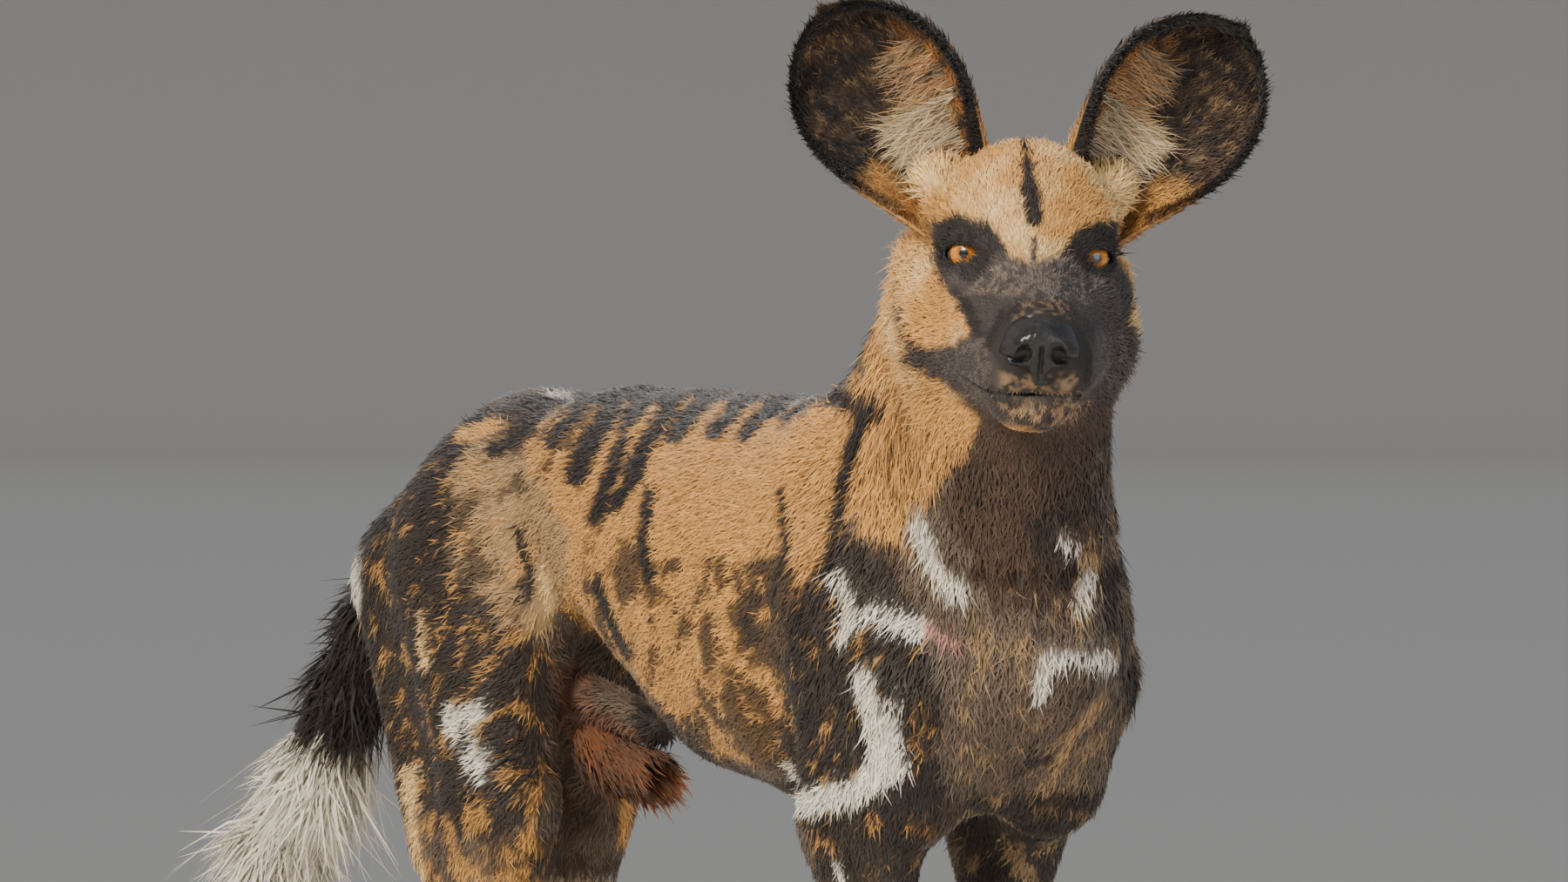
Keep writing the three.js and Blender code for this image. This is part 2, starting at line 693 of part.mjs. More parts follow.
// A large round ear: a thin cup that opens forwards and narrows to its root
function ear(s) {
  const up = new THREE.Vector3(-0.12, 0.6 * s, 0.79).normalize();
  const face = new THREE.Vector3(0.95, 0.22 * s, 0);
  face.addScaledVector(up, -face.dot(up)).normalize();
  const side = up.clone().cross(face);
  const base = new THREE.Vector3(-44, 46 * s, 32);
  const rows = EAR_ROWS;
  const columns = 8;
  const inner = [];
  const outer = [];
  for (const [high, half, wrap] of rows) {
    const spread = THREE.MathUtils.degToRad(wrap);
    const radius = half / Math.sin(Math.min(spread, Math.PI / 2));
    for (let i = 0; i <= columns; i++) {
      const angle = ((2 * i) / columns - 1) * spread;
      for (const [list, r] of [[inner, radius], [outer, radius + EAR_THICKNESS]])
        list.push(
          base
            .clone()
            .addScaledVector(up, high)
            .addScaledVector(side, r * Math.sin(angle))
            .addScaledVector(face, -r * Math.cos(angle) + radius * Math.cos(spread)),
        );
    }
  }
  return shell(inner, outer, columns + 1, rows.length);
}

// Two sheets of the same rows and columns, closed round their rim
function shell(inner, outer, columns, rows) {
  const points = [...inner, ...outer].map((p) => p.toArray());
  const far = inner.length;
  const faces = [];
  const quad = (a, b, c, d) => faces.push(a, b, c, a, c, d);
  for (let r = 0; r + 1 < rows; r++)
    for (let c = 0; c + 1 < columns; c++) {
      const a = r * columns + c;
      quad(a, a + 1, a + 1 + columns, a + columns);
      quad(far + a, far + a + columns, far + a + 1 + columns, far + a + 1);
    }
  for (let c = 0; c + 1 < columns; c++) {
    const top = (rows - 1) * columns + c;
    quad(c, far + c, far + c + 1, c + 1);
    quad(top, top + 1, far + top + 1, far + top);
  }
  for (let r = 0; r + 1 < rows; r++) {
    const a = r * columns;
    const b = a + columns - 1;
    quad(a, a + columns, far + a + columns, far + a);
    quad(b, far + b, far + b + columns, b + columns);
  }
  return closed(points, faces);
}

function paint(name, colour, roughness) {
  const material = new THREE.MeshStandardMaterial({ color: colour, roughness, metalness: 0 });
  material.name = name;
  return material;
}
const paints = {
  tan_coat: paint("tan_coat", "#b98a4e", 0.9),
  dark_coat: paint("dark_coat", "#3a322c", 0.88),
  russet_coat: paint("russet_coat", "#7d4a2a", 0.9),
  white_coat: paint("white_coat", "#dcd5c6", 0.9),
  nose_leather: paint("nose_leather", "#17181b", 0.35),
  eye_amber: paint("eye_amber", "#a8610f", 0.08),
  claw_horn: paint("claw_horn", "#2b2725", 0.45),
};
function materialFor(name) {
  if (name.startsWith("eye")) return paints.eye_amber;
  if (name.startsWith("nose")) return paints.nose_leather;
  if (name.includes("claw")) return paints.claw_horn;
  if (name === "tail_brush") return paints.white_coat;
  if (name === "belly_tuft") return paints.russet_coat;
  if (name === "tail" || name.startsWith("ear")) return paints.dark_coat;
  return paints.tan_coat;
}
const dog = new THREE.Group();

// Forequarters, hindquarters and trunk share one surface
const BODY_BOX = [[-440, -140, 340], [400, 140, 700], [34, 25, 25]];
const bodySurface = surfaceOf(flesh, ...BODY_BOX);
const nodes = {};
let torso = bodySurface.intersect(behind(NECK_BASE)).intersect(above(BELLY_CUT));
for (const [side, s] of Object.entries(SIDES)) {
  const arm = legBlock(ARM_BOX, s, -GAP / 2);
  const thigh = legBlock(THIGH_BOX, s, -GAP / 2);
  const upper = bodySurface.intersect(above(LEG_TOP));
  nodes["upper_arm_" + side] = largest(upper.intersect(arm).intersect(behind(NECK_BASE)));
  nodes["thigh_" + side] = largest(upper.intersect(thigh));
  torso = torso
    .subtract(legBlock(ARM_BOX, s, GAP / 2))
    .subtract(legBlock(THIGH_BOX, s, GAP / 2));
}
nodes.torso = largest(torso);

// The lower legs, each in slices with finer cells towards the floor
const slice = (surface, low, high) => largest(surface.intersect(above(low)).intersect(below(high)));
for (const [side, s] of Object.entries(SIDES)) {
  const fore = FORELEG[side];
  const hind = HINDLEG[side];
  const box = (x0, x1, y, half, z0, z1, cell) =>
    surfaceOf(flesh, [x0, s * y - half, z0], [x1, s * y + half, z1], cell);
  const forearm = box(130, 310, fore.elbow[1], 45, WRIST_HEIGHT - 44, LEG_TOP + 44, [14, 13, 24]);
  nodes["forearm_" + side] = slice(forearm, WRIST_HEIGHT, LEG_TOP);
  const wrist = box(165, 320, fore.paw[1], 45, PAW_TOP - 32, WRIST_HEIGHT + 32, [10.5, 10.5, 16]);
  nodes["wrist_" + side] = slice(wrist, PAW_TOP, WRIST_HEIGHT);
  const shank = box(-480, -140, hind.knee[1], 60, HOCK_CUT - 44, LEG_TOP + 44, [17, 15, 22]);
  nodes["shank_" + side] = slice(shank, HOCK_CUT, LEG_TOP);
  const hock = box(-480, -220, hind.paw[1], 45, PAW_TOP - 34, HOCK_CUT + 34, [11.5, 10.5, 17]);
  nodes["hock_" + side] = slice(hock, PAW_TOP, HOCK_CUT);
  for (const [name, paw, size] of [["forepaw", fore.paw, 1], ["hindpaw", hind.paw, 0.94]]) {
    const [x, y] = paw;
    const low = [x - 64, s * y - 48, -16];
    const high = [x + 66, s * y + 48, PAW_TOP + 20];
    let foot = slice(surfaceOf(flesh, low, high, [12.5, 10, 10.5]), 0.15, PAW_TOP);
    for (let n = 0; n < 4; n++) {
      nodes[name + "_claw_" + (n + 1) + "_" + side] = claw(x, s * y, size, n, 0);
      foot = foot.subtract(claw(x, s * y, size, n, GAP));
    }
    nodes[name + "_" + side] = largest(foot);
  }
}

// Neck and head
const neckFrame = new THREE.Matrix4().compose(
  new THREE.Vector3(300, -16, 640),
  new THREE.Quaternion().setFromEuler(new THREE.Euler(0, THREE.MathUtils.degToRad(34), 0)),
  new THREE.Vector3(1, 1, 1),
);
const neckSurface = surfaceOf(flesh, [-130, -110, -150], [130, 110, 120], [24, 22, 24], neckFrame);
const headCut = {
  point: new THREE.Vector3(...HEAD_CUT.point).applyMatrix4(headFrame).toArray(),
  normal: new THREE.Vector3(...HEAD_CUT.normal).transformDirection(headFrame).toArray(),
};
nodes.neck = largest(neckSurface.intersect(inFront(NECK_BASE)).intersect(behind(headCut)));

const place = (body) => solid(geometryOf(body).applyMatrix4(headFrame));
const HEAD_BOX = [[-150, -96, -112], [112, 96, 76]];
const HEAD_CELL = [13.5, 12.4, 12];
const headSurface = surfaceOf(flesh, ...HEAD_BOX, HEAD_CELL, headFrame);
const headGrown = surfaceOf((x, y, z) => flesh(x, y, z) - 2 * GAP, ...HEAD_BOX, HEAD_CELL, headFrame);
let headBody = headSurface.intersect(inFront(headCut));
for (const [side, s] of Object.entries(SIDES)) {
  headBody = headBody.add(place(lids(s))).subtract(place(eyeOpening(s)));
  nodes["eye_" + side] = place(eyeball(s, EYE_RADIUS));
  nodes["ear_" + side] = largest(place(ear(s)).subtract(headGrown));
}
const noseSocket = noseLeather(3 * GAP).add(noseLeather(0));
headBody = headBody.subtract(place(noseSocket)).subtract(place(mouthLine()));
nodes.nose = largest(place(noseLeather(0)).subtract(place(nostrils())));
nodes.head = largest(headBody);

// Tail: a rounded dock that hangs from the rump, and the brush below it
const tailRoot = { point: [-368, 0, 566], normal: [-0.93, 0, -0.37] };
const tailSplit = { point: TAIL_PATH[4], normal: [-0.4, 0, -0.9] };
const tailForm = tubeAlong(TAIL_PATH, TAIL_RADII, 9);
nodes.tail = largest(tailForm.intersect(inFront(tailRoot)).intersect(behind(tailSplit)));
const brush = tailForm.add(locksAlong(TAIL_PATH, TAIL_RADII, BRUSH, 7));
nodes.tail_brush = largest(brush.intersect(inFront(tailSplit)));
nodes.torso = largest(nodes.torso.intersect(behind(tailRoot)));

// The tuft of the sheath, whose locks hang under the belly between the hind legs
const tuft = locksAlong(BELLY_TUFT_PATH, BELLY_TUFT_RADII, BELLY_TUFT, 21)
  .add(tubeAlong(BELLY_TUFT_PATH, BELLY_TUFT_RADII, 6));
const bodyGrown = surfaceOf((x, y, z) => flesh(x, y, z) - 2 * GAP, ...BODY_BOX);
nodes.belly_tuft = largest(tuft.subtract(bodyGrown));

const floorToOrigin = new THREE.Box3();
for (const [name, body] of Object.entries(nodes)) {
  const geometry = geometryOf(body);
  geometry.computeBoundingBox();
  floorToOrigin.union(geometry.boundingBox);
  const mesh = new THREE.Mesh(geometry, materialFor(name));
  mesh.name = name;
  dog.add(mesh);
}
const middle = floorToOrigin.getCenter(new THREE.Vector3());
dog.position.set(-middle.x, -middle.y, -floorToOrigin.min.z);

export default dog;
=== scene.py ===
# %% [markdown]
# # An african wild dog, standing
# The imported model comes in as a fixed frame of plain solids. This lesson lays a fine skin just inside them,
# paints the skin and a coat of small mesh tufts with the same markings, and gives the dog its eyes and nose.

# %% Load the frame
import bpy
import math
import numpy as np
from mathutils import Euler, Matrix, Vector


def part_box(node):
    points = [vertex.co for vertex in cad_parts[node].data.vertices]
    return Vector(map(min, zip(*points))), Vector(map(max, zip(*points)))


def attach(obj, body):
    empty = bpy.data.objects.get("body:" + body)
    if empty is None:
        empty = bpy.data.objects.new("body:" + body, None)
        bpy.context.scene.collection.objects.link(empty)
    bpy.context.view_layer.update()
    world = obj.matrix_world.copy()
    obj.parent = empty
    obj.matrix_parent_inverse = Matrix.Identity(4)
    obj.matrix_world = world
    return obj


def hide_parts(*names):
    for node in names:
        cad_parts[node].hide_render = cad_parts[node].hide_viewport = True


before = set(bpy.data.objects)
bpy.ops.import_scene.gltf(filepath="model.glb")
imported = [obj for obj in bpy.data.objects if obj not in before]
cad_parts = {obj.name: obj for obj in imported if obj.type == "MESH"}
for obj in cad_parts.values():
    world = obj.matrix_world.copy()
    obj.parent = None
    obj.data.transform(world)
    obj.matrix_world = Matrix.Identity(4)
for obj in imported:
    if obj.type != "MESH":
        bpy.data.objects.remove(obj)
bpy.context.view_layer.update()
rng = np.random.default_rng(7)
print("nodes in the frame:", len(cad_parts))

# %% [markdown]
# ## Camera, floor and light
# A long lens far away gives the flat perspective of a wildlife photo. A wide paper bowl stands round the
# dog instead of a horizon, and big soft lamps stand in for an open sky.

# %% The camera
PHOTO = (1800, 1013)
PIXELS_PER_METRE = 1970.0
CAMERA_TURN = math.radians(60)
CAMERA_RISE = math.radians(1)
CAMERA_DISTANCE = 10.0
AIM_HEIGHT = 0.630
AIM_SIDE = 0.0703

to_camera = np.array(
    [
        math.sin(CAMERA_TURN) * math.cos(CAMERA_RISE),
        -math.cos(CAMERA_TURN) * math.cos(CAMERA_RISE),
        math.sin(CAMERA_RISE),
    ]
)
image_right = np.array([math.cos(CAMERA_TURN), math.sin(CAMERA_TURN), 0.0])
image_up = np.cross(to_camera, image_right)
aim = np.array([0, 0, AIM_HEIGHT]) + AIM_SIDE * image_right

camera = bpy.data.objects.new("camera", bpy.data.cameras.new("camera"))
bpy.context.scene.collection.objects.link(camera)
camera.location = aim + CAMERA_DISTANCE * to_camera
camera.rotation_euler = Vector(to_camera).to_track_quat("Z", "Y").to_euler()
camera.data.lens = 36 * CAMERA_DISTANCE * PIXELS_PER_METRE / PHOTO[0]
camera.data.clip_end = 100
bpy.context.scene.camera = camera
print("camera lens", round(camera.data.lens, 1), "mm")

# %% Meshes from points and faces


def tube_faces(rings, sides):
    """Quads between rings of points, each ring holding as many points as there are sides."""
    starts = [(ring * sides, i, (i + 1) % sides) for ring in range(rings - 1) for i in range(sides)]
    return [(at + i, at + j, at + sides + j, at + sides + i) for at, i, j in starts]


def mesh_object(name, vertices, faces):
    mesh = bpy.data.meshes.new(name)
    vertices = np.asarray(vertices, dtype=np.float32)
    if isinstance(faces, np.ndarray):
        corners = np.full(len(faces), faces.shape[1], dtype=np.int32)
        order = faces.ravel()
    else:
        corners = np.array([len(face) for face in faces], dtype=np.int32)
        order = np.array([corner for face in faces for corner in face])
    mesh.vertices.add(len(vertices))
    mesh.vertices.foreach_set("co", vertices.ravel())
    mesh.loops.add(len(order))
    mesh.loops.foreach_set("vertex_index", order.astype(np.int32))
    mesh.polygons.add(len(corners))
    mesh.polygons.foreach_set("loop_start", np.cumsum(corners, dtype=np.int32) - corners)
    mesh.polygons.foreach_set("use_smooth", np.full(len(corners), True))
    mesh.update(calc_edges=True)
    made = bpy.data.objects.new(name, mesh)
    bpy.context.scene.collection.objects.link(made)
    return made


print("a tube of 3 rings of 4 points has", len(tube_faces(3, 4)), "faces")

# %% The paper bowl
FLOOR_RADIUS, BEND_RADIUS, WALL_HEIGHT, FLOOR_SIDES = 34.0, 2.0, 5.0, 96
bend = np.linspace(0, math.pi / 2, 16)
profile = [(FLOOR_RADIUS + BEND_RADIUS * math.sin(a), BEND_RADIUS * (1 - math.cos(a))) for a in bend]
profile.append((FLOOR_RADIUS + BEND_RADIUS, WALL_HEIGHT))
turns = np.linspace(0, 2 * math.pi, FLOOR_SIDES, endpoint=False)
bowl_points = [(r * math.cos(a), r * math.sin(a), h) for r, h in profile for a in turns]
bowl_faces = [tuple(range(FLOOR_SIDES))]
bowl_faces += [(a, d, c, b) for a, b, c, d in tube_faces(len(profile), FLOOR_SIDES)]
bowl = mesh_object("floor", bowl_points, bowl_faces)
paper = bpy.data.materials.new("floor_paper")
paper.use_nodes = True
paper_surface = paper.node_tree.nodes["Principled BSDF"].inputs
paper_surface["Base Color"].default_value = (0.70, 0.65, 0.57, 1)
paper_surface["Roughness"].default_value = 0.9
bowl.data.materials.append(paper)
print("bowl:", len(bowl.data.polygons), "faces")

# %% Lamps and sky


def soft_lamp(name, side, height, towards, size, power, colour):
    lamp = bpy.data.lights.new(name, "AREA")
    lamp.size = size
    lamp.energy = power
    lamp.color = colour
    held = bpy.data.objects.new(name, lamp)
    bpy.context.scene.collection.objects.link(held)
    spot = side * image_right + towards * to_camera
    held.location = (spot[0], spot[1], height)
    held.rotation_euler = (held.location - Vector((0, 0, 0.5))).to_track_quat("Z", "Y").to_euler()


soft_lamp("key", -1.6, 2.6, 3.0, 1.3, 215, (1.0, 0.93, 0.79))
soft_lamp("fill", 2.6, 1.4, 2.6, 2.4, 45, (0.86, 0.92, 1.0))
soft_lamp("rim", -0.6, 2.6, -2.2, 1.4, 60, (1.0, 0.96, 0.9))
world = bpy.data.worlds.new("sky")
world.use_nodes = True
sky_light = world.node_tree.nodes["Background"].inputs
sky_light["Color"].default_value = (0.78, 0.84, 0.95, 1)
sky_light["Strength"].default_value = 0.45
bpy.context.scene.world = world
print("lamps:", len(bpy.data.lights))

# %% [markdown]
# ## The flesh as a field
# A distance field is a formula that gives, at any point, how far the surface is. Each muscle is a tapered
# round limb, and a soft minimum blends them. It could be sculpted by hand, but a field gives the same skin
# at any fineness, and it repeats the muscles that the solids were made from, in millimetres.

# %% The flesh as a field
SIDES = {"left": 1, "right": -1}
EYES_MIDDLE = (384, -47, 741)
HEAD_TURN = (math.radians(-2.3), math.radians(5), math.radians(-26))
head_turn = np.array(Euler(HEAD_TURN, "XYZ").to_matrix())


def limited(values):
    return np.clip(values, 0, 1)


def to_head(points):
    return (points - np.array(EYES_MIDDLE)) @ head_turn


def from_head(points):
    return np.asarray(points, dtype=float) @ head_turn.T + np.array(EYES_MIDDLE)


def muscle(a, b, ra, rb, blend=24, thin=1.0, across=(0, 1, 0)):
    return [np.array(a, float), np.array(b, float), ra, rb, blend, thin, np.array(across, float)]


def in_head(m):
    a, b, ra, rb, blend, thin, across = m
    return [from_head(a), from_head(b), ra, rb, blend, thin, head_turn @ across]


def distance_to(m, points):
    a, b, ra, rb, _, thin, across = m
    along = b - a
    t = limited((points - a) @ along / max(along @ along, 1e-9))
    off = points - a - t[:, None] * along
    if thin != 1:
        off = off + ((off @ across) * (thin - 1))[:, None] * across
    return np.sqrt((off**2).sum(1)) - (ra + t * (rb - ra))


def soft_min(a, b, k):
    h = np.maximum(k - np.abs(a - b), 0) / k
    return np.minimum(a, b) - h * h * k / 4


def blended(muscles, points):
    d = np.full(len(points), 2000.0)
    for m in muscles:
        d = soft_min(d, distance_to(m, points), m[4])
    return d


trunk = [
    muscle([255, 0, 550], [110, 0, 541], 96, 118, 30, 1.34),
    muscle([110, 0, 541], [15, 0, 549], 118, 110, 30, 1.34),
    muscle([15, 0, 549], [-70, 0, 573], 110, 88, 30, 1.3),
    muscle([-70, 0, 573], [-140, 0, 590], 88, 70, 30, 1.2),
    muscle([-140, 0, 590], [-250, 0, 584], 70, 74, 30, 1.1),
    muscle([-250, 0, 584], [-325, 0, 566], 74, 60, 30, 1.05),
    muscle([-325, 0, 575], [-352, 0, 560], 46, 40, 30),
    muscle([318, 0, 530], [255, 0, 465], 42, 44, 30),
    muscle([-205, 0, 478], [-120, 0, 462], 20, 17, 24),
]
neck = [
    muscle([190, 0, 570], [334, -32, 702], 86, 62, 40, 1.15),
    muscle([140, 0, 608], [290, -26, 736], 44, 44, 40),
    muscle([304, 0, 530], [354, -38, 660], 56, 50, 40),
]
FORELEG = {
    "left": dict(shoulder=(266, 58, 502), elbow=(184, 54, 402), wrist=(204, 49, 150), paw=(222, 51)),
    "right": dict(shoulder=(268, 58, 502), elbow=(220, 58, 402), wrist=(244, 50, 150), paw=(266, 52)),
}
HINDLEG = {
    "left": dict(hip=(-290, 48, 540), knee=(-308, 56, 404), hock=(-436, 54, 186), paw=(-404, 54)),
    "right": dict(hip=(-272, 50, 540), knee=(-196, 60, 404), hock=(-316, 57, 182), paw=(-282, 57)),
}


print("trunk and neck:", len(trunk) + len(neck), "muscles")

# %% Legs and paws


def near(joint, s, dx=0, dy=0, dz=0):
    return (joint[0] + dx, s * (joint[1] + dy), joint[2] + dz)


def toes(x, y, size):
    def at(dx, dy, z):
        return (x + dx * size, y + dy * size, z * size)

    found = [
        muscle(at(-16, 0, 42), at(6, 0, 22), 20 * size, 19 * size, 10, 0.92),
        muscle(at(-20, 0, 12), at(-8, 0, 12), 15 * size, 15 * size, 6, 0.9),
    ]
    for s in (-1, 1):
        found.append(muscle(at(10, 9 * s, 23), at(38, 9.5 * s, 8.5), 11 * size, 10 * size, 3))
        found.append(muscle(at(4, 19 * s, 19), at(25, 25 * s, 8), 10.5 * size, 9.5 * size, 3))
    return found


def foreleg(side):
    s = SIDES[side]
    shoulder, elbow, wrist, paw = FORELEG[side].values()
    return [
        muscle((160, s * 40, 605), near(shoulder, s), 44, 38, 34, 1.3),
        muscle((205, s * 56, 545), near(elbow, s, -4, 6, 30), 52, 38, 30, 1.25),
        muscle(near(shoulder, s), near(elbow, s, 4, 2, 14), 36, 40, 26, 1.15),
        muscle((284, s * 24, 505), near(shoulder, s, -14, -12, -60), 38, 34, 30),
        muscle(near(elbow, s, 2), near(wrist, s, 0, 0, 70), 38, 24, 16, 1.35),
        muscle(near(elbow, s, -30, 4, 16), near(elbow, s, -20, 2, -8), 14, 14, 16),
        muscle(near(wrist, s, 0, 0, 70), near(wrist, s), 24, 20, 14, 1.2),
        muscle(near(wrist, s), near(wrist, s, 3, 0, -22), 21, 19, 12, 1.08),
        muscle(near(wrist, s, 3, 0, -22), (paw[0] - 14, s * paw[1], 44), 19, 20, 12, 1.05),
        *toes(paw[0], s * paw[1], 1),
    ]


def hindleg(side):
    s = SIDES[side]
    hip, knee, hock, paw = HINDLEG[side].values()
    return [
        muscle(near(hip, s, 20, -8, 10), near(knee, s, -6, 0, 22), 80, 46, 30, 1.5),
        muscle(near(hip, s, -66, -8, 2), near(knee, s, -62, 0, -12), 46, 34, 30, 1.2),
        muscle(near(knee, s, -4, 0, 8), near(knee, s, -34, 0, -70), 46, 40, 24, 1.5),
        muscle(near(knee, s, -34, 0, -70), near(hock, s, 10, 0, 44), 40, 22, 20, 1.3),
        muscle(near(hock, s, 10, 0, 44), near(hock, s), 22, 20, 14, 1.2),
        muscle(near(hock, s, 6, 0, 100), near(hock, s, -22, 0, 20), 14, 11, 12, 1.2),
        muscle(near(hock, s, -20, 0, 16), near(hock, s, -8, 0, -30), 13, 14, 12),
        muscle(near(hock, s, -2, 0, -4), (paw[0] - 16, s * paw[1], 44), 20, 19, 12, 1.15),
        *toes(paw[0], s * paw[1], 0.94),
    ]


limbs = [m for side in SIDES for m in foreleg(side) + hindleg(side)]
print("legs:", len(limbs), "muscles")

# %% Head and tail
head = [
    muscle((-86, 0, 12), (-30, 0, 20), 43, 40, 20, 0.93),
    muscle((-30, 0, 22), (10, 0, -4), 36, 28, 20, 0.92),
    muscle((-70, 0, -50), (10, 0, -56), 42, 28, 24),
    muscle((6, 0, -12), (84, 0, -33), 20, 14, 14, 0.9),
    muscle((58, 0, -78), (74, 0, -77), 12, 11, 12, 0.7),
]
for s in (-1, 1):
    head += [
        muscle((-16, 29 * s, 12), (0, 27 * s, 8), 20, 15, 14),
        muscle((-72, 46 * s, -18), (2, 36 * s, -24), 20, 15, 18),
        muscle((-66, 42 * s, -46), (-24, 38 * s, -48), 28, 23, 22),
        muscle((6, 13 * s, -36), (76, 10 * s, -46), 28, 20, 14),
        muscle((4, 28 * s, -54), (74, 16 * s, -58), 18, 15, 12),
        muscle((-36, 28 * s, -70), (60, 8 * s, -77), 17, 12, 12),
        muscle((-54, 34 * s, 22), (-58, 46 * s, 32), 26, 20, 20),
    ]
tail_path = np.array(
    [(-335, 0, 576), (-395, -3, 556), (-440, -7, 523), (-468, -10, 485), (-498, -12, 440),
     (-540, -14, 392), (-574, -16, 340), (-596, -17, 292)], float
)
TAIL_FLESH = [20, 15, 13, 12, 11, 10, 8, 4]
tail = [
    muscle(tail_path[i], tail_path[i + 1], TAIL_FLESH[i], TAIL_FLESH[i + 1], 14)
    for i in range(len(tail_path) - 1)
]
muscles = trunk + neck + limbs + [in_head(m) for m in head] + tail
print("muscles:", len(muscles))

# %% [markdown]
# ## The skin
# The face needs its lids, lips and the groove between them, so these are added to the field. The skin lies
# inside the plain solids by the depth of the coat, which is thin on face and feet and deep on the throat.
# On the tail it lies on the muscles themselves.

# %% The skin field
EYE = np.array([-5, 34.5, 0])
EYE_RADIUS = 11.6
EYE_OUTWARD = 0.36
EYE_SLANT = -0.1
EYE_OPENING = (11.6, 5.0, 6.2)
MOUTH_HEIGHT = -69
MOUTH_RISE = 12
MOUTH_SWEEP = 2.5
LEG_HEIGHTS = [0, 60, 150, 380, 470]
body_shift = (np.array(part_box("eye_left")).mean(0) * 1000) - from_head([EYE])[0]
print("body shift in mm:", body_shift.round(1))


def eye_axes(s):
    look = np.array([1, EYE_OUTWARD * s, 0.06])
    look /= np.linalg.norm(look)
    across = np.cross([0, 0, 1], look)
    across /= np.linalg.norm(across)
    return look, across, np.cross(look, across)


def lid_edge(s, count=32):
    """The almond rim of the lids, in the head's frame."""
    look, across, up = eye_axes(s)
    angle = np.linspace(0, 2 * math.pi, count, endpoint=False)
    wide = np.cos(angle) * EYE_OPENING[0]
    tall = np.where(np.sin(angle) > 0, EYE_OPENING[1], EYE_OPENING[2])
    high = np.sin(angle) * np.abs(np.sin(angle)) ** 0.3 * tall + wide * EYE_SLANT * s
    reach = np.sqrt(np.maximum((EYE_RADIUS + 0.8) ** 2 - wide**2 - high**2, 4))
    return EYE * [1, s, 1] + np.outer(reach, look) + np.outer(wide, across) + np.outer(high, up)


def eye_opening(s, q):
    """Below zero inside the almond tunnel in front of the eye."""
    look, across, up = eye_axes(s)
    off = q - EYE * [1, s, 1]
    wide = off @ across
    high = off @ up - wide * EYE_SLANT * s
    tall = np.where(high > 0, EYE_OPENING[1], EYE_OPENING[2])
    round_off = np.sqrt((wide / EYE_OPENING[0]) ** 2 + np.abs(high / tall) ** 1.7 + 1e-9)
    return np.where(off @ look > 0, (round_off - 1) * 6, 5)


def nearest_on(points, path, closed=False):
    """Distance from each point to a path of short segments."""
    ends = np.roll(path, -1, 0) if closed else path[1:]
    starts = path if closed else path[:-1]
    best = np.full(len(points), 1e9)
    for a, b in zip(starts, ends):
        along = b - a
        t = limited((points - a) @ along / max(along @ along, 1e-9))
        best = np.minimum(best, np.linalg.norm(points - a - t[:, None] * along, axis=1))
    return best


print("rim of the left lids, middle in the head's frame:", lid_edge(1).mean(0).round(1))

# %% Mouth, coat depth and skin


def mouth_line(q):
    angle = np.arctan2(q[:, 1], q[:, 0])
    back = np.clip(np.abs(2 * angle / MOUTH_SWEEP), 0, 1.2)
    return q[:, 2] - (MOUTH_HEIGHT + MOUTH_RISE * back**2.2), back


def face_reach(q):
    """Distance from the middle of the eyes, with the length of the muzzle counted less."""
    return np.linalg.norm(q * [0.8, 1, 1], axis=1)


def coat_depth(points):
    """How far the skin lies inside the tips of the coat, in mm."""
    x, y, z = points.T
    q = to_head(points)
    depth = np.interp(z, LEG_HEIGHTS, [1.5, 2.0, 3.0, 4.5, 7.0])
    throat = np.exp(-(((x - 290) / 90) ** 2) - (((z - 640) / 120) ** 2))
    depth = depth + 6 * throat
    face = limited((q[:, 0] + 95) / 70) * (np.linalg.norm(q, axis=1) < 170)
    depth = depth * (1 - face) + face * np.interp(q[:, 0], [-60, 0, 50], [4.5, 2.0, 0.9])
    tail_part = limited((-x - 350) / 40) * (z > 290)
    return depth * (1 - tail_part)


def skin_field(points):
    d = blended(muscles, points) + coat_depth(points)
    q = to_head(points)
    for s in (-1, 1):
        close = np.where(np.linalg.norm(q - EYE * [1, s, 1], axis=1) < 34)[0]
        if len(close):
            part = q[close]
            off = np.linalg.norm(part - EYE * [1, s, 1], axis=1)
            value = soft_min(d[close], off - EYE_RADIUS - 1.6, 7)
            value = soft_min(value, nearest_on(part, lid_edge(s), True) - 1.6, 2.5)
            socket = np.minimum(off - EYE_RADIUS - 0.1, eye_opening(s, part))
            d[close] = np.maximum(value, -socket)
    mouth = np.where((q[:, 0] > 0) & (np.abs(q[:, 2] + 64) < 26) & (np.abs(d) < 25))[0]
    if len(mouth):
        above, back = mouth_line(q[mouth])
        value = d[mouth]
        fade = limited((1 - back) * 8)
        value = value - fade * 1.3 * np.exp(-(((above - 4) / 4) ** 2))
        value = value - fade * 1.0 * np.exp(-(((above + 4) / 3.5) ** 2))
        slit = np.maximum(np.abs(above) - 0.55 * limited((0.7 - back) * 4), -(d[mouth] + 2.6))
        d[mouth] = np.maximum(value, -slit)
    return d


print("skin field at the middle of the trunk:", skin_field(np.array([[0.0, 0, 550]])).round(1))

# %% [markdown]
# A surface net turns the field into a mesh: each cell that the surface crosses holds one vertex, and each
# crossed grid edge makes one face. The grid's planes stand closer together at the head, so the face is fine
# and the flanks are not. Only cells near the surface are worked out, found first on a coarse grid.

# %% Surface nets
FIELD_POINTS = 200000
print("points worked out at a time:", FIELD_POINTS)


def graded(low, high, step, fine_low, fine_high, fine_step):
    before = np.arange(low, fine_low, step)
    inside = np.arange(fine_low, fine_high, fine_step)
    return np.concatenate([before, inside, np.arange(fine_high, high + step, step)])


def neighbours(grid, axis):
    """Each value of a grid and the next one along an axis."""
    grid = np.moveaxis(grid, axis, 0)
    return np.moveaxis(grid[:-1], 0, axis), np.moveaxis(grid[1:], 0, axis)


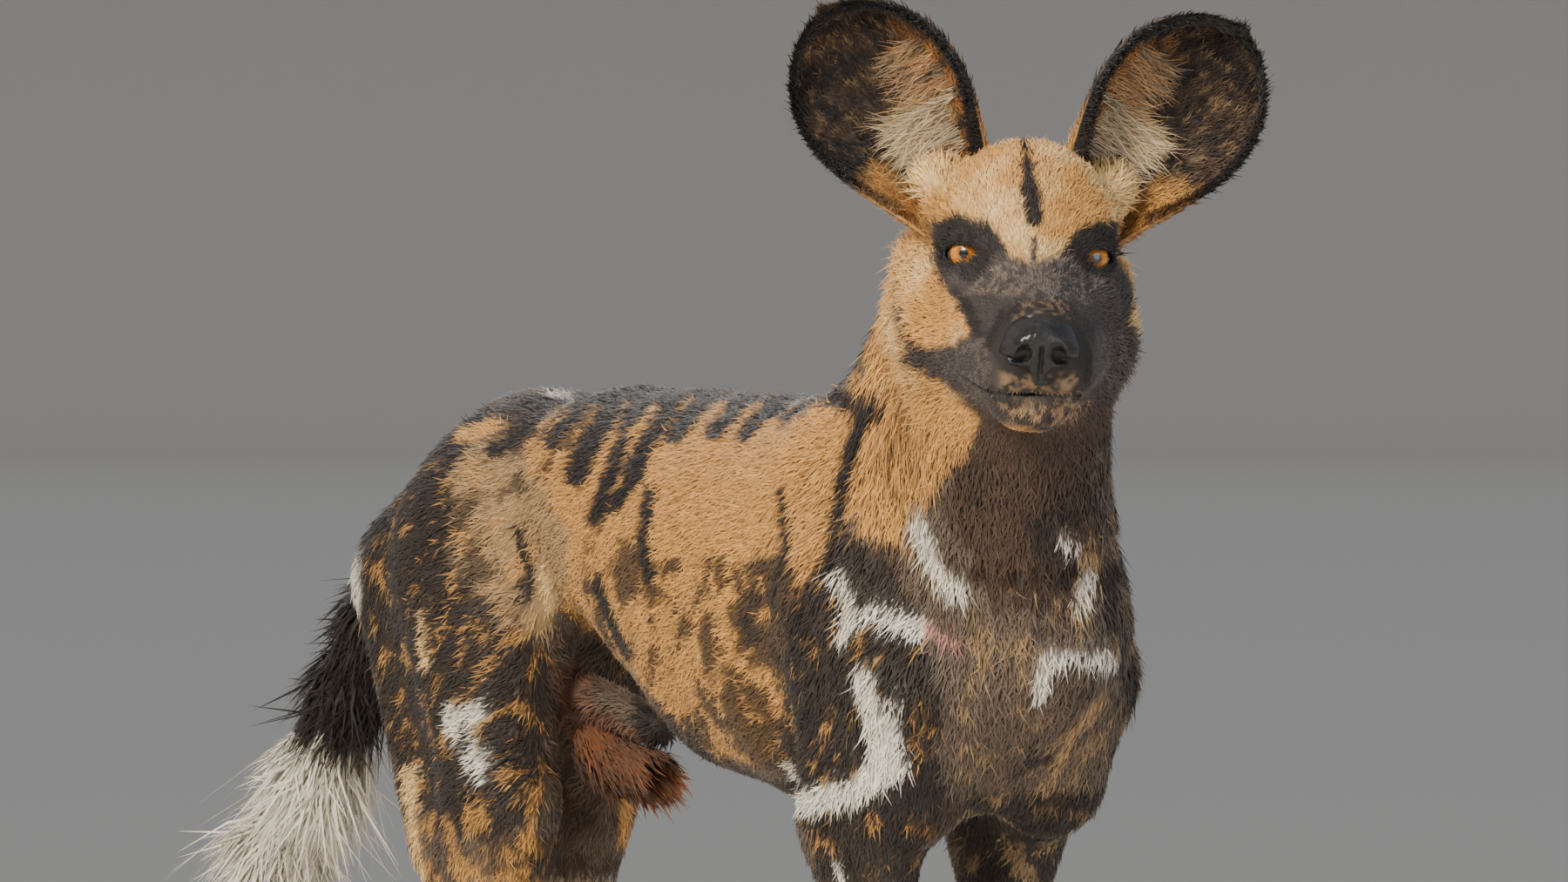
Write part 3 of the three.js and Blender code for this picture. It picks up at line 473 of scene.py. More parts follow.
def surface_net(field, xs, ys, zs, coarse=5):
    shape = (len(xs), len(ys), len(zs))
    values = np.full(shape, 60.0)
    picks = [np.unique(np.append(np.arange(0, n, coarse), n - 1)) for n in shape]
    rough = np.stack(np.meshgrid(*(a[p] for a, p in zip((xs, ys, zs), picks)), indexing="ij"), -1)
    rough_values = field(rough.reshape(-1, 3)).reshape(rough.shape[:3])
    reach = coarse * max(np.diff(xs).max(), np.diff(ys).max(), np.diff(zs).max()) * 1.1
    todo = np.zeros(shape, bool)
    for index in np.ndindex(*(len(p) - 1 for p in picks)):
        corner = rough_values[index[0]:index[0] + 2, index[1]:index[1] + 2, index[2]:index[2] + 2]
        block = tuple(slice(p[i], p[i + 1] + 1) for p, i in zip(picks, index))
        if np.abs(corner).min() < reach:
            todo[block] = True
        else:
            values[block] = corner[0, 0, 0]
    where = np.argwhere(todo)
    for part in np.array_split(where, max(1, len(where) // FIELD_POINTS)):
        at = np.stack([xs[part[:, 0]], ys[part[:, 1]], zs[part[:, 2]]], 1)
        values[tuple(part.T)] = field(at)
    inside = values < 0
    cells = np.zeros(tuple(n - 1 for n in shape))
    total = np.zeros(cells.shape + (3,))
    axes = (xs, ys, zs)
    for axis in range(3):
        a, b = neighbours(values, axis)
        edges = np.argwhere((a < 0) != (b < 0))
        va, vb = a[tuple(edges.T)], b[tuple(edges.T)]
        point = np.stack([axes[k][edges[:, k]] for k in range(3)], 1)
        point[:, axis] += va / (va - vb) * np.diff(axes[axis])[edges[:, axis]]
        others = [k for k in range(3) if k != axis]
        for p in (0, 1):
            for r in (0, 1):
                cell = edges.copy()
                cell[:, others[0]] -= p
                cell[:, others[1]] -= r
                ok = ((cell >= 0) & (cell < np.array(cells.shape))).all(1)
                np.add.at(cells, tuple(cell[ok].T), 1)
                np.add.at(total, tuple(cell[ok].T), point[ok])
    used = np.argwhere(cells > 0)
    number = np.full(cells.shape, -1)
    number[tuple(used.T)] = np.arange(len(used))
    vertices = total[tuple(used.T)] / cells[tuple(used.T)][:, None]
    faces = []
    for axis in range(3):
        a, b = neighbours(inside, axis)
        u, v = (axis + 1) % 3, (axis + 2) % 3
        for found, turned in ((a & ~b, False), (~a & b, True)):
            edges = np.argwhere(found)
            edges = edges[(edges[:, u] > 0) & (edges[:, v] > 0)]
            edges = edges[(edges[:, u] < cells.shape[u]) & (edges[:, v] < cells.shape[v])]
            corners = []
            for du, dv in ((1, 1), (0, 1), (0, 0), (1, 0)):
                cell = edges.copy()
                cell[:, u] -= du
                cell[:, v] -= dv
                corners.append(number[tuple(cell.T)])
            quad = np.stack(corners[::-1] if turned else corners, 1)
            faces.append(quad)
    faces = np.concatenate(faces)
    return vertices, faces[(faces >= 0).all(1)]

# %% Slopes of a field


def slope(field, points, step=0.4):
    parts = [field(points + step * e) - field(points - step * e) for e in np.eye(3)]
    return np.stack(parts, 1) / (2 * step)


def settled(field, points, reach, rounds=2):
    """Moves points along the field's slope onto the surface, by no more than reach."""
    start = points
    for _ in range(rounds):
        grad = slope(field, points)
        size = np.maximum((grad**2).sum(1), 0.3)
        points = points - grad * (field(points) / size)[:, None]
    moved = points - start
    far = np.linalg.norm(moved, axis=1, keepdims=True)
    return start + moved * np.minimum(1, reach / np.maximum(far, 1e-9))


print("slope of the skin over the back:", slope(skin_field, np.array([[0.0, 0, 660]])).round(2))

# %% Make the skin
COARSE = 4.6
FINE = 2.1
HEAD_X, HEAD_Z = (330, 500), (640, 830)
LOWEST_SKIN, LOWEST_PIECE = 0.35, 0.6
xs = graded(-640, 510, COARSE, *HEAD_X, FINE)
ys = np.arange(-150, 152, 3.0)
zs = graded(-6, 850, COARSE, *HEAD_Z, FINE)
skin_points, skin_faces = surface_net(skin_field, xs, ys, zs)
skin_points = settled(skin_field, skin_points, 0.8 * COARSE)
skin_normals = slope(skin_field, skin_points)
skin_normals /= np.maximum(np.linalg.norm(skin_normals, axis=1, keepdims=True), 1e-9)
skin_points[:, 2] = np.maximum(skin_points[:, 2], LOWEST_SKIN)


def to_metres(points):
    return (np.asarray(points) + body_shift) / 1000


skin = mesh_object("skin", to_metres(skin_points), skin_faces)
print("skin:", len(skin_points), "vertices,", len(skin_faces), "faces")

# %% [markdown]
# ## Markings
# Every wild dog has its own patches. The ones this photo shows are brush strokes and patches whose points
# are places in the picture, laid on the side that faces the camera. The other side has blotches of the same
# colours from smooth noise. One function gives the colour at any point, for skin and coat alike.

# %% Noise and colour tools


def hash_noise(cells, seed):
    x, y, z = cells.T
    n = x * 73856093 ^ y * 19349663 ^ z * 83492791 ^ (seed * 2654435)
    n = (n ^ (n >> 13)) * 1274126177
    return ((n ^ (n >> 16)) & 0xFFFF) / 65535.0


def smooth_noise(points, size, seed=0):
    """Value noise from 0 to 1, with features about size millimetres across."""
    at = points / size + 1000
    low = np.floor(at).astype(np.int64)
    part = at - low
    part = part * part * (3 - 2 * part)
    total = np.zeros(len(points))
    for i in (0, 1):
        for j in (0, 1):
            for k in (0, 1):
                corner = np.array([i, j, k])
                weight = np.abs(1 - corner - part)
                total += weight[:, 0] * weight[:, 1] * weight[:, 2] * hash_noise(low + corner, seed)
    return total


def rough_noise(points, size, seed=0):
    found = 0.55 * smooth_noise(points, size, seed) + 0.3 * smooth_noise(points, size / 2.1, seed + 1)
    return found + 0.15 * smooth_noise(points, size / 4.3, seed + 2)


def linear(red, green, blue):
    screen = np.array([red, green, blue]) / 255
    return np.where(screen <= 0.04045, screen / 12.92, ((screen + 0.055) / 1.055) ** 2.4)


TAN = linear(202, 149, 82)
PALE_TAN = linear(226, 189, 130)
OCHRE = linear(178, 119, 58)
DARK = linear(37, 30, 28)
LID_BLACK = linear(26, 21, 20)
MASK = linear(64, 56, 54)
LIP_HAIR = linear(160, 128, 97)
MASK_HAIR = linear(118, 104, 94)
SOOT = linear(52, 43, 38)
SANDY = linear(166, 134, 94)
UMBER = linear(74, 57, 46)
GREY_BROWN = linear(100, 85, 73)
WHITE = linear(226, 219, 206)
RED_BROWN = linear(140, 84, 46)
PINK_SCAR = linear(176, 120, 108)
BARE_BROWN = linear(112, 82, 66)


print("tan in linear light:", TAN.round(3))

# %% Places in the photo


def on_photo(points):
    """Where points, in metres, fall in the photo, in its pixels."""
    off = points - (aim + CAMERA_DISTANCE * to_camera)
    away = -(off @ to_camera)
    scale = PIXELS_PER_METRE * CAMERA_DISTANCE / away
    across, up = off @ image_right * scale, off @ image_up * scale
    return np.stack([PHOTO[0] / 2 + across, PHOTO[1] / 2 - up], 1)


def inside_outline(points, outline):
    found = np.zeros(len(points), bool)
    ends = np.roll(outline, -1, 0)
    for (ax, ay), (bx, by) in zip(outline, ends):
        crosses = (ay > points[:, 1]) != (by > points[:, 1])
        at = ax + (points[:, 1] - ay) / (by - ay + 1e-9) * (bx - ax)
        found ^= crosses & (points[:, 0] < at)
    return found


def stroke(places, path, width, ragged):
    """How much of a brush stroke covers each place, from 0 to 1."""
    path = np.array(path, float)
    away = nearest_on(places, path)
    return limited((width / 2 + ragged - away) / 5 + 0.5)


def patch(places, outline, ragged):
    outline = np.array(outline, float)
    away = nearest_on(places, outline, True)
    depth = np.where(inside_outline(places, outline), away, -away)
    return limited((depth + ragged) / 6 + 0.5)


def mixed(colour, other, share):
    return colour + (other - colour) * share[:, None]


def plain(colour, points):
    return np.tile(colour, (len(points), 1))


eye_middles = np.array([np.mean(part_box("eye_" + side), 0) for side in SIDES])
print("the eyes in the photo:", *on_photo(eye_middles).round())

# %% [markdown]
# The lists below hold the markings of the side in view. Each has a colour, the part of the body that it may
# touch, its outline or stroke in photo pixels, and how ragged its edge is.

# %% The markings in view
BACK_STRIPES = [
    ([(640, 462), (610, 492), (575, 520)], 17),
    ([(678, 458), (662, 480), (640, 505)], 16),
    ([(712, 458), (690, 500), (668, 545)], 25),
    ([(745, 458), (728, 490), (700, 560), (690, 590)], 20),
    ([(782, 456), (760, 490), (738, 540), (715, 575)], 22),
    ([(822, 456), (800, 478), (780, 500)], 20),
    ([(862, 458), (846, 478), (828, 496)], 20),
    ([(905, 462), (880, 478), (862, 500)], 18),
    ([(940, 456), (925, 468), (905, 480)], 10),
    ([(752, 560), (745, 610), (752, 660)], 14),
    ([(690, 660), (700, 700), (722, 745)], 12),
    ([(905, 560), (912, 610), (900, 660)], 9),
    ([(600, 600), (610, 650), (606, 690)], 10),
]
NECK_TAN = [(985, 420), (1050, 405), (1098, 450), (1128, 482), (1114, 508), (1086, 532), (1056, 572),
            (1040, 604), (985, 604)]
BODY_PATCHES = [
    (TAN, "trunk", [(560, 520), (640, 470), (760, 462), (900, 466), (1010, 456), (990, 560), (965, 660),
                    (925, 700), (905, 780), (905, 850), (880, 880), (820, 862), (760, 800), (700, 740),
                    (650, 700), (625, 640), (600, 560)], 12),
    (SANDY, "any", [(520, 520), (590, 500), (640, 560), (655, 650), (640, 720), (600, 730), (560, 690),
                    (530, 620)], 22),
    (SOOT, "thigh", [(560, 440), (575, 470), (530, 540), (520, 640), (560, 700), (625, 740), (625, 930),
                     (560, 960), (500, 940), (430, 820), (395, 690), (420, 590), (470, 530), (520, 480)], 14),
    (SOOT, "any", [(905, 720), (930, 670), (960, 620), (985, 590), (1030, 640), (1070, 700), (1090, 760),
                   (1100, 880), (1060, 930), (1065, 1013), (935, 1013), (930, 930), (900, 880)], 10),
    (SOOT, "any", [(1185, 560), (1310, 560), (1310, 860), (1230, 1013), (1100, 1013), (1110, 900),
                   (1190, 850), (1180, 700)], 16),
    (DARK, "trunk", [(735, 800), (790, 850), (850, 885), (960, 905), (960, 940), (800, 940), (735, 860)], 8),
    (TAN, "any", [(985, 470), (998, 430), (1006, 330), (1100, 330), (1130, 480), (1090, 515), (1045, 570),
                  (1000, 600), (982, 560)], 12),
    (GREY_BROWN, "throat", [(1060, 480), (1300, 470), (1300, 900), (1090, 900), (1075, 720), (1030, 600),
                            (1050, 540)], 12),
    (UMBER, "throat", [(1110, 480), (1250, 480), (1260, 620), (1230, 700), (1140, 680), (1090, 560)], 24),
    (TAN, "any", NECK_TAN, 12),
]
MOTTLES = [
    # paint, part, outline in the photo, size of the flecks, how many, how strong
    (DARK, "trunk", [(690, 600), (760, 640), (900, 640), (935, 700), (910, 800), (900, 890), (780, 850),
                     (690, 740), (650, 690)], 17, 0.50, 0.85),
    (SOOT, "trunk", [(820, 640), (915, 630), (930, 690), (905, 790), (860, 730), (815, 700)], 22, 0.36, 0.9),
    (DARK, "any", [(500, 450), (700, 440), (680, 500), (620, 640), (600, 740), (520, 700), (470, 560)], 15,
     0.52, 0.8),
    (TAN, "thigh", [(400, 560), (560, 520), (640, 640), (625, 950), (500, 1013), (470, 880), (410, 720)], 9,
     0.60, 0.75),
    (TAN, "any", [(470, 940), (620, 900), (620, 1013), (470, 1013)], 16, 0.49, 0.8),
    (TAN, "any", [(900, 700), (960, 650), (1080, 720), (1100, 880), (1060, 1013), (930, 1013), (905, 860)],
     10, 0.61, 0.7),
    (DARK, "any", [(900, 700), (960, 620), (1010, 640), (1080, 760), (1090, 880), (1060, 1013), (930, 1013),
                   (905, 860)], 16, 0.53, 0.9),
    (SANDY, "any", [(1100, 700), (1300, 560), (1300, 880), (1220, 1013), (1110, 1013)], 10, 0.56, 0.7),
    (DARK, "any", [(1190, 560), (1300, 560), (1300, 880), (1220, 1013), (1110, 1013), (1180, 800)], 18,
     0.54, 0.85),
    (DARK, "throat", [(1090, 480), (1290, 480), (1290, 640), (1200, 680), (1100, 640)], 24, 0.55, 0.7),
    (UMBER, "any", [(1040, 430), (1150, 486), (1088, 532), (1040, 600), (1020, 520)], 12, 0.56, 0.6),
]
BODY_STROKES = [
    (DARK, "any", [(1003, 450), (985, 500), (975, 545), (966, 620), (960, 650)], 17, 4),
    (DARK, "trunk", [(560, 464), (700, 450), (800, 446), (900, 448), (1010, 452)], 24, 7),
    (DARK, "thigh", [(430, 600), (452, 560), (520, 480)], 16, 6),
    (SANDY, "any", [(1052, 570), (1062, 610), (1090, 655)], 26, 6),
    (WHITE, "any", [(1058, 580), (1072, 625), (1100, 665)], 22, 5),
    (WHITE, "any", [(970, 650), (984, 685), (974, 720)], 16, 4),
    (WHITE, "any", [(1005, 688), (1035, 702), (1060, 714)], 20, 4),
    (WHITE, "any", [(994, 764), (1000, 800), (1008, 830)], 22, 6),
    (WHITE, "any", [(1016, 830), (1022, 872)], 42, 8),
    (WHITE, "any", [(1010, 790), (1040, 796)], 8, 3),
    (WHITE, "any", [(1030, 868), (985, 900), (930, 915)], 32, 6),
    (WHITE, "any", [(910, 876), (918, 890)], 9, 3),
    (WHITE, "any", [(960, 985), (968, 1010)], 9, 3),
    (WHITE, "any", [(1222, 606), (1232, 616)], 10, 3),
    (SANDY, "any", [(1252, 630), (1236, 690)], 20, 6),
    (WHITE, "any", [(1250, 645), (1236, 685)], 13, 4),
    (WHITE, "any", [(1200, 748), (1235, 740), (1275, 746)], 20, 5),
    (WHITE, "any", [(1200, 748), (1196, 788)], 16, 4),
    (SANDY, "any", [(1270, 790), (1240, 830), (1215, 880)], 12, 6),
    (TAN, "any", [(720, 890), (716, 960)], 14, 4),
    (BARE_BROWN, "any", [(650, 770), (680, 830), (720, 850)], 46, 8),
    (PALE_TAN, "thigh", [(490, 700), (493, 760)], 9, 3),
    (WHITE, "thigh", [(425, 762), (432, 790)], 8, 3),
    (WHITE, "thigh", [(414, 605), (409, 690)], 13, 4),
    (TAN, "thigh", [(540, 500), (575, 490)], 18, 5),
    (SANDY, "thigh", [(466, 545), (485, 528)], 10, 4),
    (PINK_SCAR, "any", [(1068, 704), (1080, 716), (1096, 722)], 11, 4),
    (PALE_TAN, "any", [(474, 880), (482, 1000)], 16, 5),
    (PALE_TAN, "any", [(628, 650), (632, 700)], 10, 5),
    (WHITE, "trunk", [(636, 452), (660, 456)], 9, 4),
]
THIGH_BUTTERFLY = [(520, 800), (535, 812), (560, 795), (568, 815), (552, 835), (566, 870), (560, 893),
                   (542, 880), (530, 850), (515, 835)]
FACE_PATCHES = [
    (DARK, [(1066, 264), (1098, 252), (1140, 264), (1160, 292), (1165, 330), (1130, 352), (1085, 330)], 4),
    (DARK, [(1215, 292), (1240, 262), (1278, 256), (1304, 284), (1302, 330), (1272, 350), (1222, 335)], 4),
    (MASK, [(1076, 300), (1120, 330), (1150, 294), (1190, 306), (1226, 294), (1258, 326), (1300, 300),
            (1302, 345), (1284, 372), (1306, 392), (1302, 430), (1270, 462), (1240, 486), (1195, 492),
            (1150, 482), (1100, 452), (1050, 414), (1062, 396), (1100, 398), (1120, 380), (1102, 350)], 7),
    (DARK, [(1146, 356), (1170, 346), (1225, 346), (1256, 376), (1256, 430), (1236, 446), (1200, 452),
            (1156, 444), (1136, 400)], 10),
    (DARK, [(1098, 330), (1120, 350), (1132, 390), (1118, 380)], 7),
]
FACE_STROKES = [
    (DARK, [(1177, 160), (1180, 200)], 10, 3),
    (DARK, [(1179, 196), (1182, 222)], 15, 4),
    (DARK, [(1182, 222), (1186, 254)], 24, 5),
    (MASK, [(1187, 280), (1187, 304)], 7, 3),
    (DARK, [(1062, 398), (1072, 410)], 10, 6),
    (DARK, [(1306, 390), (1302, 420)], 10, 6),
    (MASK, [(1040, 330), (1050, 380), (1062, 400)], 9, 6),
]
FACE_HAIRS = [
    (MASK_HAIR, [(1110, 340), (1150, 296), (1226, 296), (1262, 330), (1262, 350), (1190, 345)], 0.7),
    (MASK_HAIR, [(1060, 396), (1130, 390), (1150, 450), (1110, 456)], 0.4),
    (MASK_HAIR, [(1260, 380), (1306, 392), (1290, 440), (1256, 450)], 0.35),
    (LIP_HAIR, [(1164, 348), (1222, 348), (1226, 366), (1164, 366)], 0.4),
    (LIP_HAIR, [(1150, 428), (1240, 428), (1240, 452), (1150, 452)], 0.75),
    (LIP_HAIR, [(1140, 458), (1250, 458), (1232, 482), (1158, 482)], 0.85),
]
print("markings:", len(BODY_PATCHES) + len(MOTTLES) + len(BODY_STROKES) + len(FACE_PATCHES + FACE_STROKES))

# %% Colour at any point
TAIL_START, TAIL_END, TAIL_TOP, TAIL_REACH = -374, 240, 572, 36
MOTTLE_SLANT = np.array(Euler((0.5, 0.35, 0.7)).to_matrix())
MOTTLE_DRIFT = 16
SPINE_WIDTH = 20


def near_tail(points):
    """True on the skin of the tail, close round its core line and clear of the thighs and hocks."""
    x, y, z = points.T
    found = np.zeros(len(points), bool)
    behind = np.where((x < TAIL_START) & (z > TAIL_END) & (z < TAIL_TOP))[0]
    if len(behind):
        found[behind] = nearest_on(points[behind], tail_path) < TAIL_REACH
    return found


def part_of(points):
    """For each big part of the body, True at the points that lie in it."""
    x, y, z = points.T
    q = to_head(points)
    in_face = (q[:, 0] > -110) & (face_reach(q) < 125) & (z > 640)
    return {
        "face": in_face,
        "throat": ~in_face & (x > 215) & (z > 395),
        "trunk": ~in_face & (x > -230) & (z > 395),
        "thigh": (x < -120) & (z > 300),
        "any": ~in_face & (z > 355),
    }


print("parts of the body with their own markings:", *part_of(skin_points[:1]))

# %% [markdown]
# The face's patches are laid from the front only, so they fade out behind the eyes. The dark rims of the lids
# and the line of the mouth come last.

# %% Colour of the face


def face_colour(points, normals, places, ragged):
    q = to_head(points)
    base = mixed(plain(TAN, points), PALE_TAN, limited((rough_noise(points, 26, 61) - 0.4) * 4))
    base = mixed(base, OCHRE, limited((rough_noise(points, 6, 21) - 0.55) * 4) * 0.5)
    front = limited(q[:, 0] / 30 + 1.8)
    for paint, outline, edge in FACE_PATCHES:
        base = mixed(base, paint, patch(places, outline, ragged * edge) * front)
    for paint, path, width, edge in FACE_STROKES:
        base = mixed(base, paint, stroke(places, path, width, ragged * edge) * front)
    under = limited((-q[:, 2] - 72) / 10) * (q[:, 0] < 55)
    base = mixed(base, UMBER, under)
    neck = patch(places, NECK_TAN, ragged * 8) * limited(normals @ to_camera * 4)
    base = mixed(base, TAN, under * neck)
    hairs = limited((rough_noise(points, 3.2, 62) - 0.46) * 8) * front
    for paint, outline, share in FACE_HAIRS:
        base = mixed(base, paint, patch(places, outline, ragged * 8) * hairs * share)
    for s in (-1, 1):
        rim = np.full(len(points), 99.0)
        close = np.linalg.norm(q - EYE * [1, s, 1], axis=1) < 30
        rim[close] = nearest_on(q[close], lid_edge(s), True)
        base = mixed(base, LID_BLACK, limited((3.4 - rim) / 1.2))
    lips = (q[:, 0] > 0) & (np.abs(q[:, 2] + 64) < 26)
    above, back = mouth_line(q)
    line = limited(1.5 - np.abs(above)) * limited((0.5 - back) * 4) * lips
    return mixed(base, LID_BLACK, line)


print("hairs of the face in", len(FACE_HAIRS), "areas")

# %% [markdown]
# The body starts grey-brown and takes one layer of paint after another: blotches where the photo shows
# nothing, then patches, mottling, stripes and strokes where it does, then back, tail and face.

# %% Colour of the body


def wild_dog_colour(points, normals):
    """The colour of the coat at points given in millimetres of the body's own frame."""
    x, y, z = points.T
    part = part_of(points)
    places = on_photo(to_metres(points))
    blotch = rough_noise(points, 62, 3)
    fleck = rough_noise(points, 17, 9)
    tiny = rough_noise(points, 6, 21)
    colour = plain(GREY_BROWN, points)
    colour = mixed(colour, UMBER, limited((fleck - 0.42) * 6))
    # Blotches for the side and the legs that the photo does not show
    hidden = limited((normals @ -to_camera) * 4 + 0.6)
    low = limited((372 - z) / 20)
    free = np.maximum(hidden, low)
    colour = mixed(colour, TAN, free * limited((blotch - 0.50) * 14))
    colour = mixed(colour, DARK, free * limited((0.44 - blotch) * 14))
    white_share = rough_noise(points, 78, 31) + 0.06 * low
    colour = mixed(colour, WHITE, free * limited((white_share - 0.60) * 18))
    seen = 1 - hidden
    ragged = (fleck - 0.5) * 2 + 0.8 * (tiny - 0.5)
    for paint, where, outline, edge in BODY_PATCHES:
        cover = patch(places, outline, ragged * edge)
        colour = mixed(colour, paint, cover * seen * part[where])
    drift = np.stack([smooth_noise(points, 13, seed) for seed in (91, 92, 93)], 1) - 0.5
    drifted = points @ MOTTLE_SLANT + MOTTLE_DRIFT * drift
    for n, (paint, where, outline, size, level, strength) in enumerate(MOTTLES):
        cover = patch(places, outline, ragged * 16) * seen * part[where]
        spots = limited((rough_noise(drifted, size, 41 + n) - level) * 11)
        colour = mixed(colour, paint, cover * spots * strength)
    for path, width in BACK_STRIPES:
        cover = stroke(places, path, width, ragged * 7)
        colour = mixed(colour, DARK, cover * seen * (part["trunk"] | part["thigh"]))
    rump = limited((-x - 310) / 40) * (z > 470) * part["any"]
    colour = mixed(colour, DARK, rump * limited((0.58 - fleck) * 6) * 0.8)
    for paint, where, path, width, edge in BODY_STROKES:
        cover = stroke(places, path, width, ragged * edge)
        colour = mixed(colour, paint, cover * seen * part[where])
    butterfly = patch(places, THIGH_BUTTERFLY, ragged * 5)
    colour = mixed(colour, WHITE, butterfly * seen * part["thigh"])
    hole = stroke(places, [(542, 832), (540, 858)], 12, ragged * 2)
    colour = mixed(colour, DARK, hole * seen * part["thigh"])
    # Black cape line along the back
    spine = limited(1 - np.abs(y + 3 * fleck) / SPINE_WIDTH) * (normals[:, 2] > 0.5) * (x < 150) * (z > 600)
    colour = mixed(colour, DARK, spine * 0.8)
    # Tail: black dock and white brush
    tail_part = near_tail(points) & (x < -385) & (z < 560)
    colour = np.where(tail_part[:, None], DARK, colour)
    brush = limited((474 - z + 14 * (fleck - 0.5)) / 6) * tail_part
    colour = mixed(colour, WHITE, brush)
    face = part["face"]
    if face.any():
        colour[face] = face_colour(points[face], normals[face], places[face], ragged[face])
    return colour


def give_colour(piece, colours):
    layer = piece.data.color_attributes.new("coat_colour", "FLOAT_COLOR", "POINT")
    packed = np.ones((len(colours), 4), np.float32)
    packed[:, :3] = colours
    layer.data.foreach_set("color", packed.ravel())


skin_colour = wild_dog_colour(skin_points, skin_normals)
give_colour(skin, skin_colour)
print("skin colours from", skin_colour.min(0).round(3), "to", skin_colour.max(0).round(3))

# %% [markdown]
# ## The ears
# Each ear is one curved cup of skin, made of rows from its root to its tip. Every row is an arc, whose half
# width and wrap change smoothly. The back of the cup is the same arc, a little larger.

# %% The ears
EAR_ROWS = np.array(
    [(-24, 24, 110), (-4, 29, 100), (14, 37, 80), (32, 45, 64), (50, 50, 54), (68, 51, 48), (86, 47, 44),
     (101, 38, 40), (112, 26, 36), (118, 13, 32), (120, 4, 30)], float
)
EAR_ROOT, EAR_TIP = np.array([-44, 46, 32]), np.array([-60, 120, 130])
EAR_THICKNESS = 2.2
EAR_INSET = 2.5


def ear_axes(s):
    up = np.array([-0.12, 0.6 * s, 0.79])
    up /= np.linalg.norm(up)
    face = np.array([0.95, 0.22 * s, 0])
    face -= up * (face @ up)
    face /= np.linalg.norm(face)
    return up, face, np.cross(up, face)


def ear_sheet(s, rows=44, columns=41):
    """Inner and outer sheets of an ear in body millimetres, with the place of each point on the cup."""
    up, face, side = ear_axes(s)
    base = EAR_ROOT * [1, s, 1]
    place = np.linspace(0, len(EAR_ROWS) - 1, rows)
    smooth = [np.interp(place, np.arange(len(EAR_ROWS)), EAR_ROWS[:, k]) for k in range(3)]
    for k in range(3):
        padded = np.concatenate([smooth[k][:1]] * 3 + [smooth[k]] + [smooth[k][-1:]] * 3)
        smooth[k] = np.convolve(padded, np.ones(7) / 7, "valid")
    high, half, wrap = smooth
    half = np.maximum(half - EAR_INSET, 1.5)
    spread = np.radians(wrap)[:, None]
    radius = half[:, None] / np.sin(np.minimum(spread, math.pi / 2))
    across = np.linspace(-1, 1, columns)[None, :]
    angle = across * spread
    crease = 1.6 * np.exp(-(((across - 0.55) / 0.12) ** 2))
    crease = crease * limited(1 - np.abs(high[:, None] - 30) / 60)
    sheets = []
    for thick in (0, EAR_THICKNESS):
        r = radius + thick - (crease if thick == 0 else 0)
        out = base + high[:, None, None] * up + (r * np.sin(angle))[..., None] * side
        out = out + (radius * np.cos(spread) - r * np.cos(angle))[..., None] * face
        sheets.append(from_head(out.reshape(-1, 3)).reshape(rows, columns, 3))
    return sheets, high / 120, across[0]


def sheet_faces(rows, columns, far):
    i, j = np.meshgrid(np.arange(rows - 1), np.arange(columns - 1), indexing="ij")
    a = (i * columns + j).ravel()
    front = np.stack([a, a + 1, a + 1 + columns, a + columns], 1)
    back = far + front[:, ::-1]
    rims = []
    for j0 in range(columns - 1):
        top = (rows - 1) * columns + j0
        rims += [(j0, far + j0, far + j0 + 1, j0 + 1), (top, top + 1, far + top + 1, far + top)]
    for i0 in range(rows - 1):
        left = i0 * columns
        right = left + columns - 1
        rims += [(left, left + columns, far + left + columns, far + left)]
        rims += [(right, far + right, far + right + columns, right + columns)]
    return np.concatenate([front, back, np.array(rims)])


print("ear rows:", len(EAR_ROWS))

# %% Colour of the ears


def ear_colour(points, along, across, inner, s):
    fleck = rough_noise(points, 10, 71)
    base = mixed(plain(DARK, points), UMBER, limited((fleck - 0.42) * 5) * 0.8)
    pale_hair = limited((rough_noise(points, 4, 75) - 0.58) * 9) * 0.4
    base = mixed(base, SANDY, pale_hair)
    if not inner:
        root = limited((0.30 - along) * 6 + fleck - 0.5)
        return mixed(base, TAN, root)
    inward = across * -s
    band = limited((inward - 0.15) * 4) * limited((0.74 - along + 0.4 * (fleck - 0.5)) * 5)
    base = mixed(base, OCHRE, band * limited((rough_noise(points, 5, 73) - 0.30) * 4) * 0.9)
    pale = limited(1 - np.abs(inward - 0.2) / 0.45) * limited(1 - np.abs(along - 0.26) / 0.2)
    base = mixed(base, PALE_TAN, limited(pale * 2 + fleck - 0.7))
    lobe = limited((-inward - 0.35) * 5) * limited((0.30 - along) * 8 + fleck - 0.5)
    base = mixed(base, TAN, np.maximum(lobe, limited((0.13 - along) * 10)))
    inner_rim = np.where(inward > 0, 1, limited(along * 4 - 0.8))
    return mixed(base, DARK, limited((np.abs(inward) - 0.88) * 14) * inner_rim)


print("the left ear's rim is coloured", ear_colour(EAR_ROWS[-1:], np.ones(1), np.ones(1), True, 1).round(3))

# %% Make the ears
ears = {}
ear_parts = {}
for side, s in SIDES.items():
    (inner, outer), along, across = ear_sheet(s)
    rows, columns = inner.shape[:2]
    points = np.concatenate([inner.reshape(-1, 3), outer.reshape(-1, 3)])
    faces = sheet_faces(rows, columns, rows * columns)
    if s < 0:
        faces = faces[:, ::-1]
    ears[side] = mesh_object("ear_skin_" + side, to_metres(points), faces)
    along_all = np.repeat(along, columns)
    across_all = np.tile(across, rows)
    colours = [
        ear_colour(sheet.reshape(-1, 3), along_all, across_all, k == 0, s)
        for k, sheet in enumerate((inner, outer))
    ]
    give_colour(ears[side], np.concatenate(colours))
    ear_parts[side] = (inner, outer, along, across)
print("ear mesh:", len(ears["left"].data.polygons), "faces each")

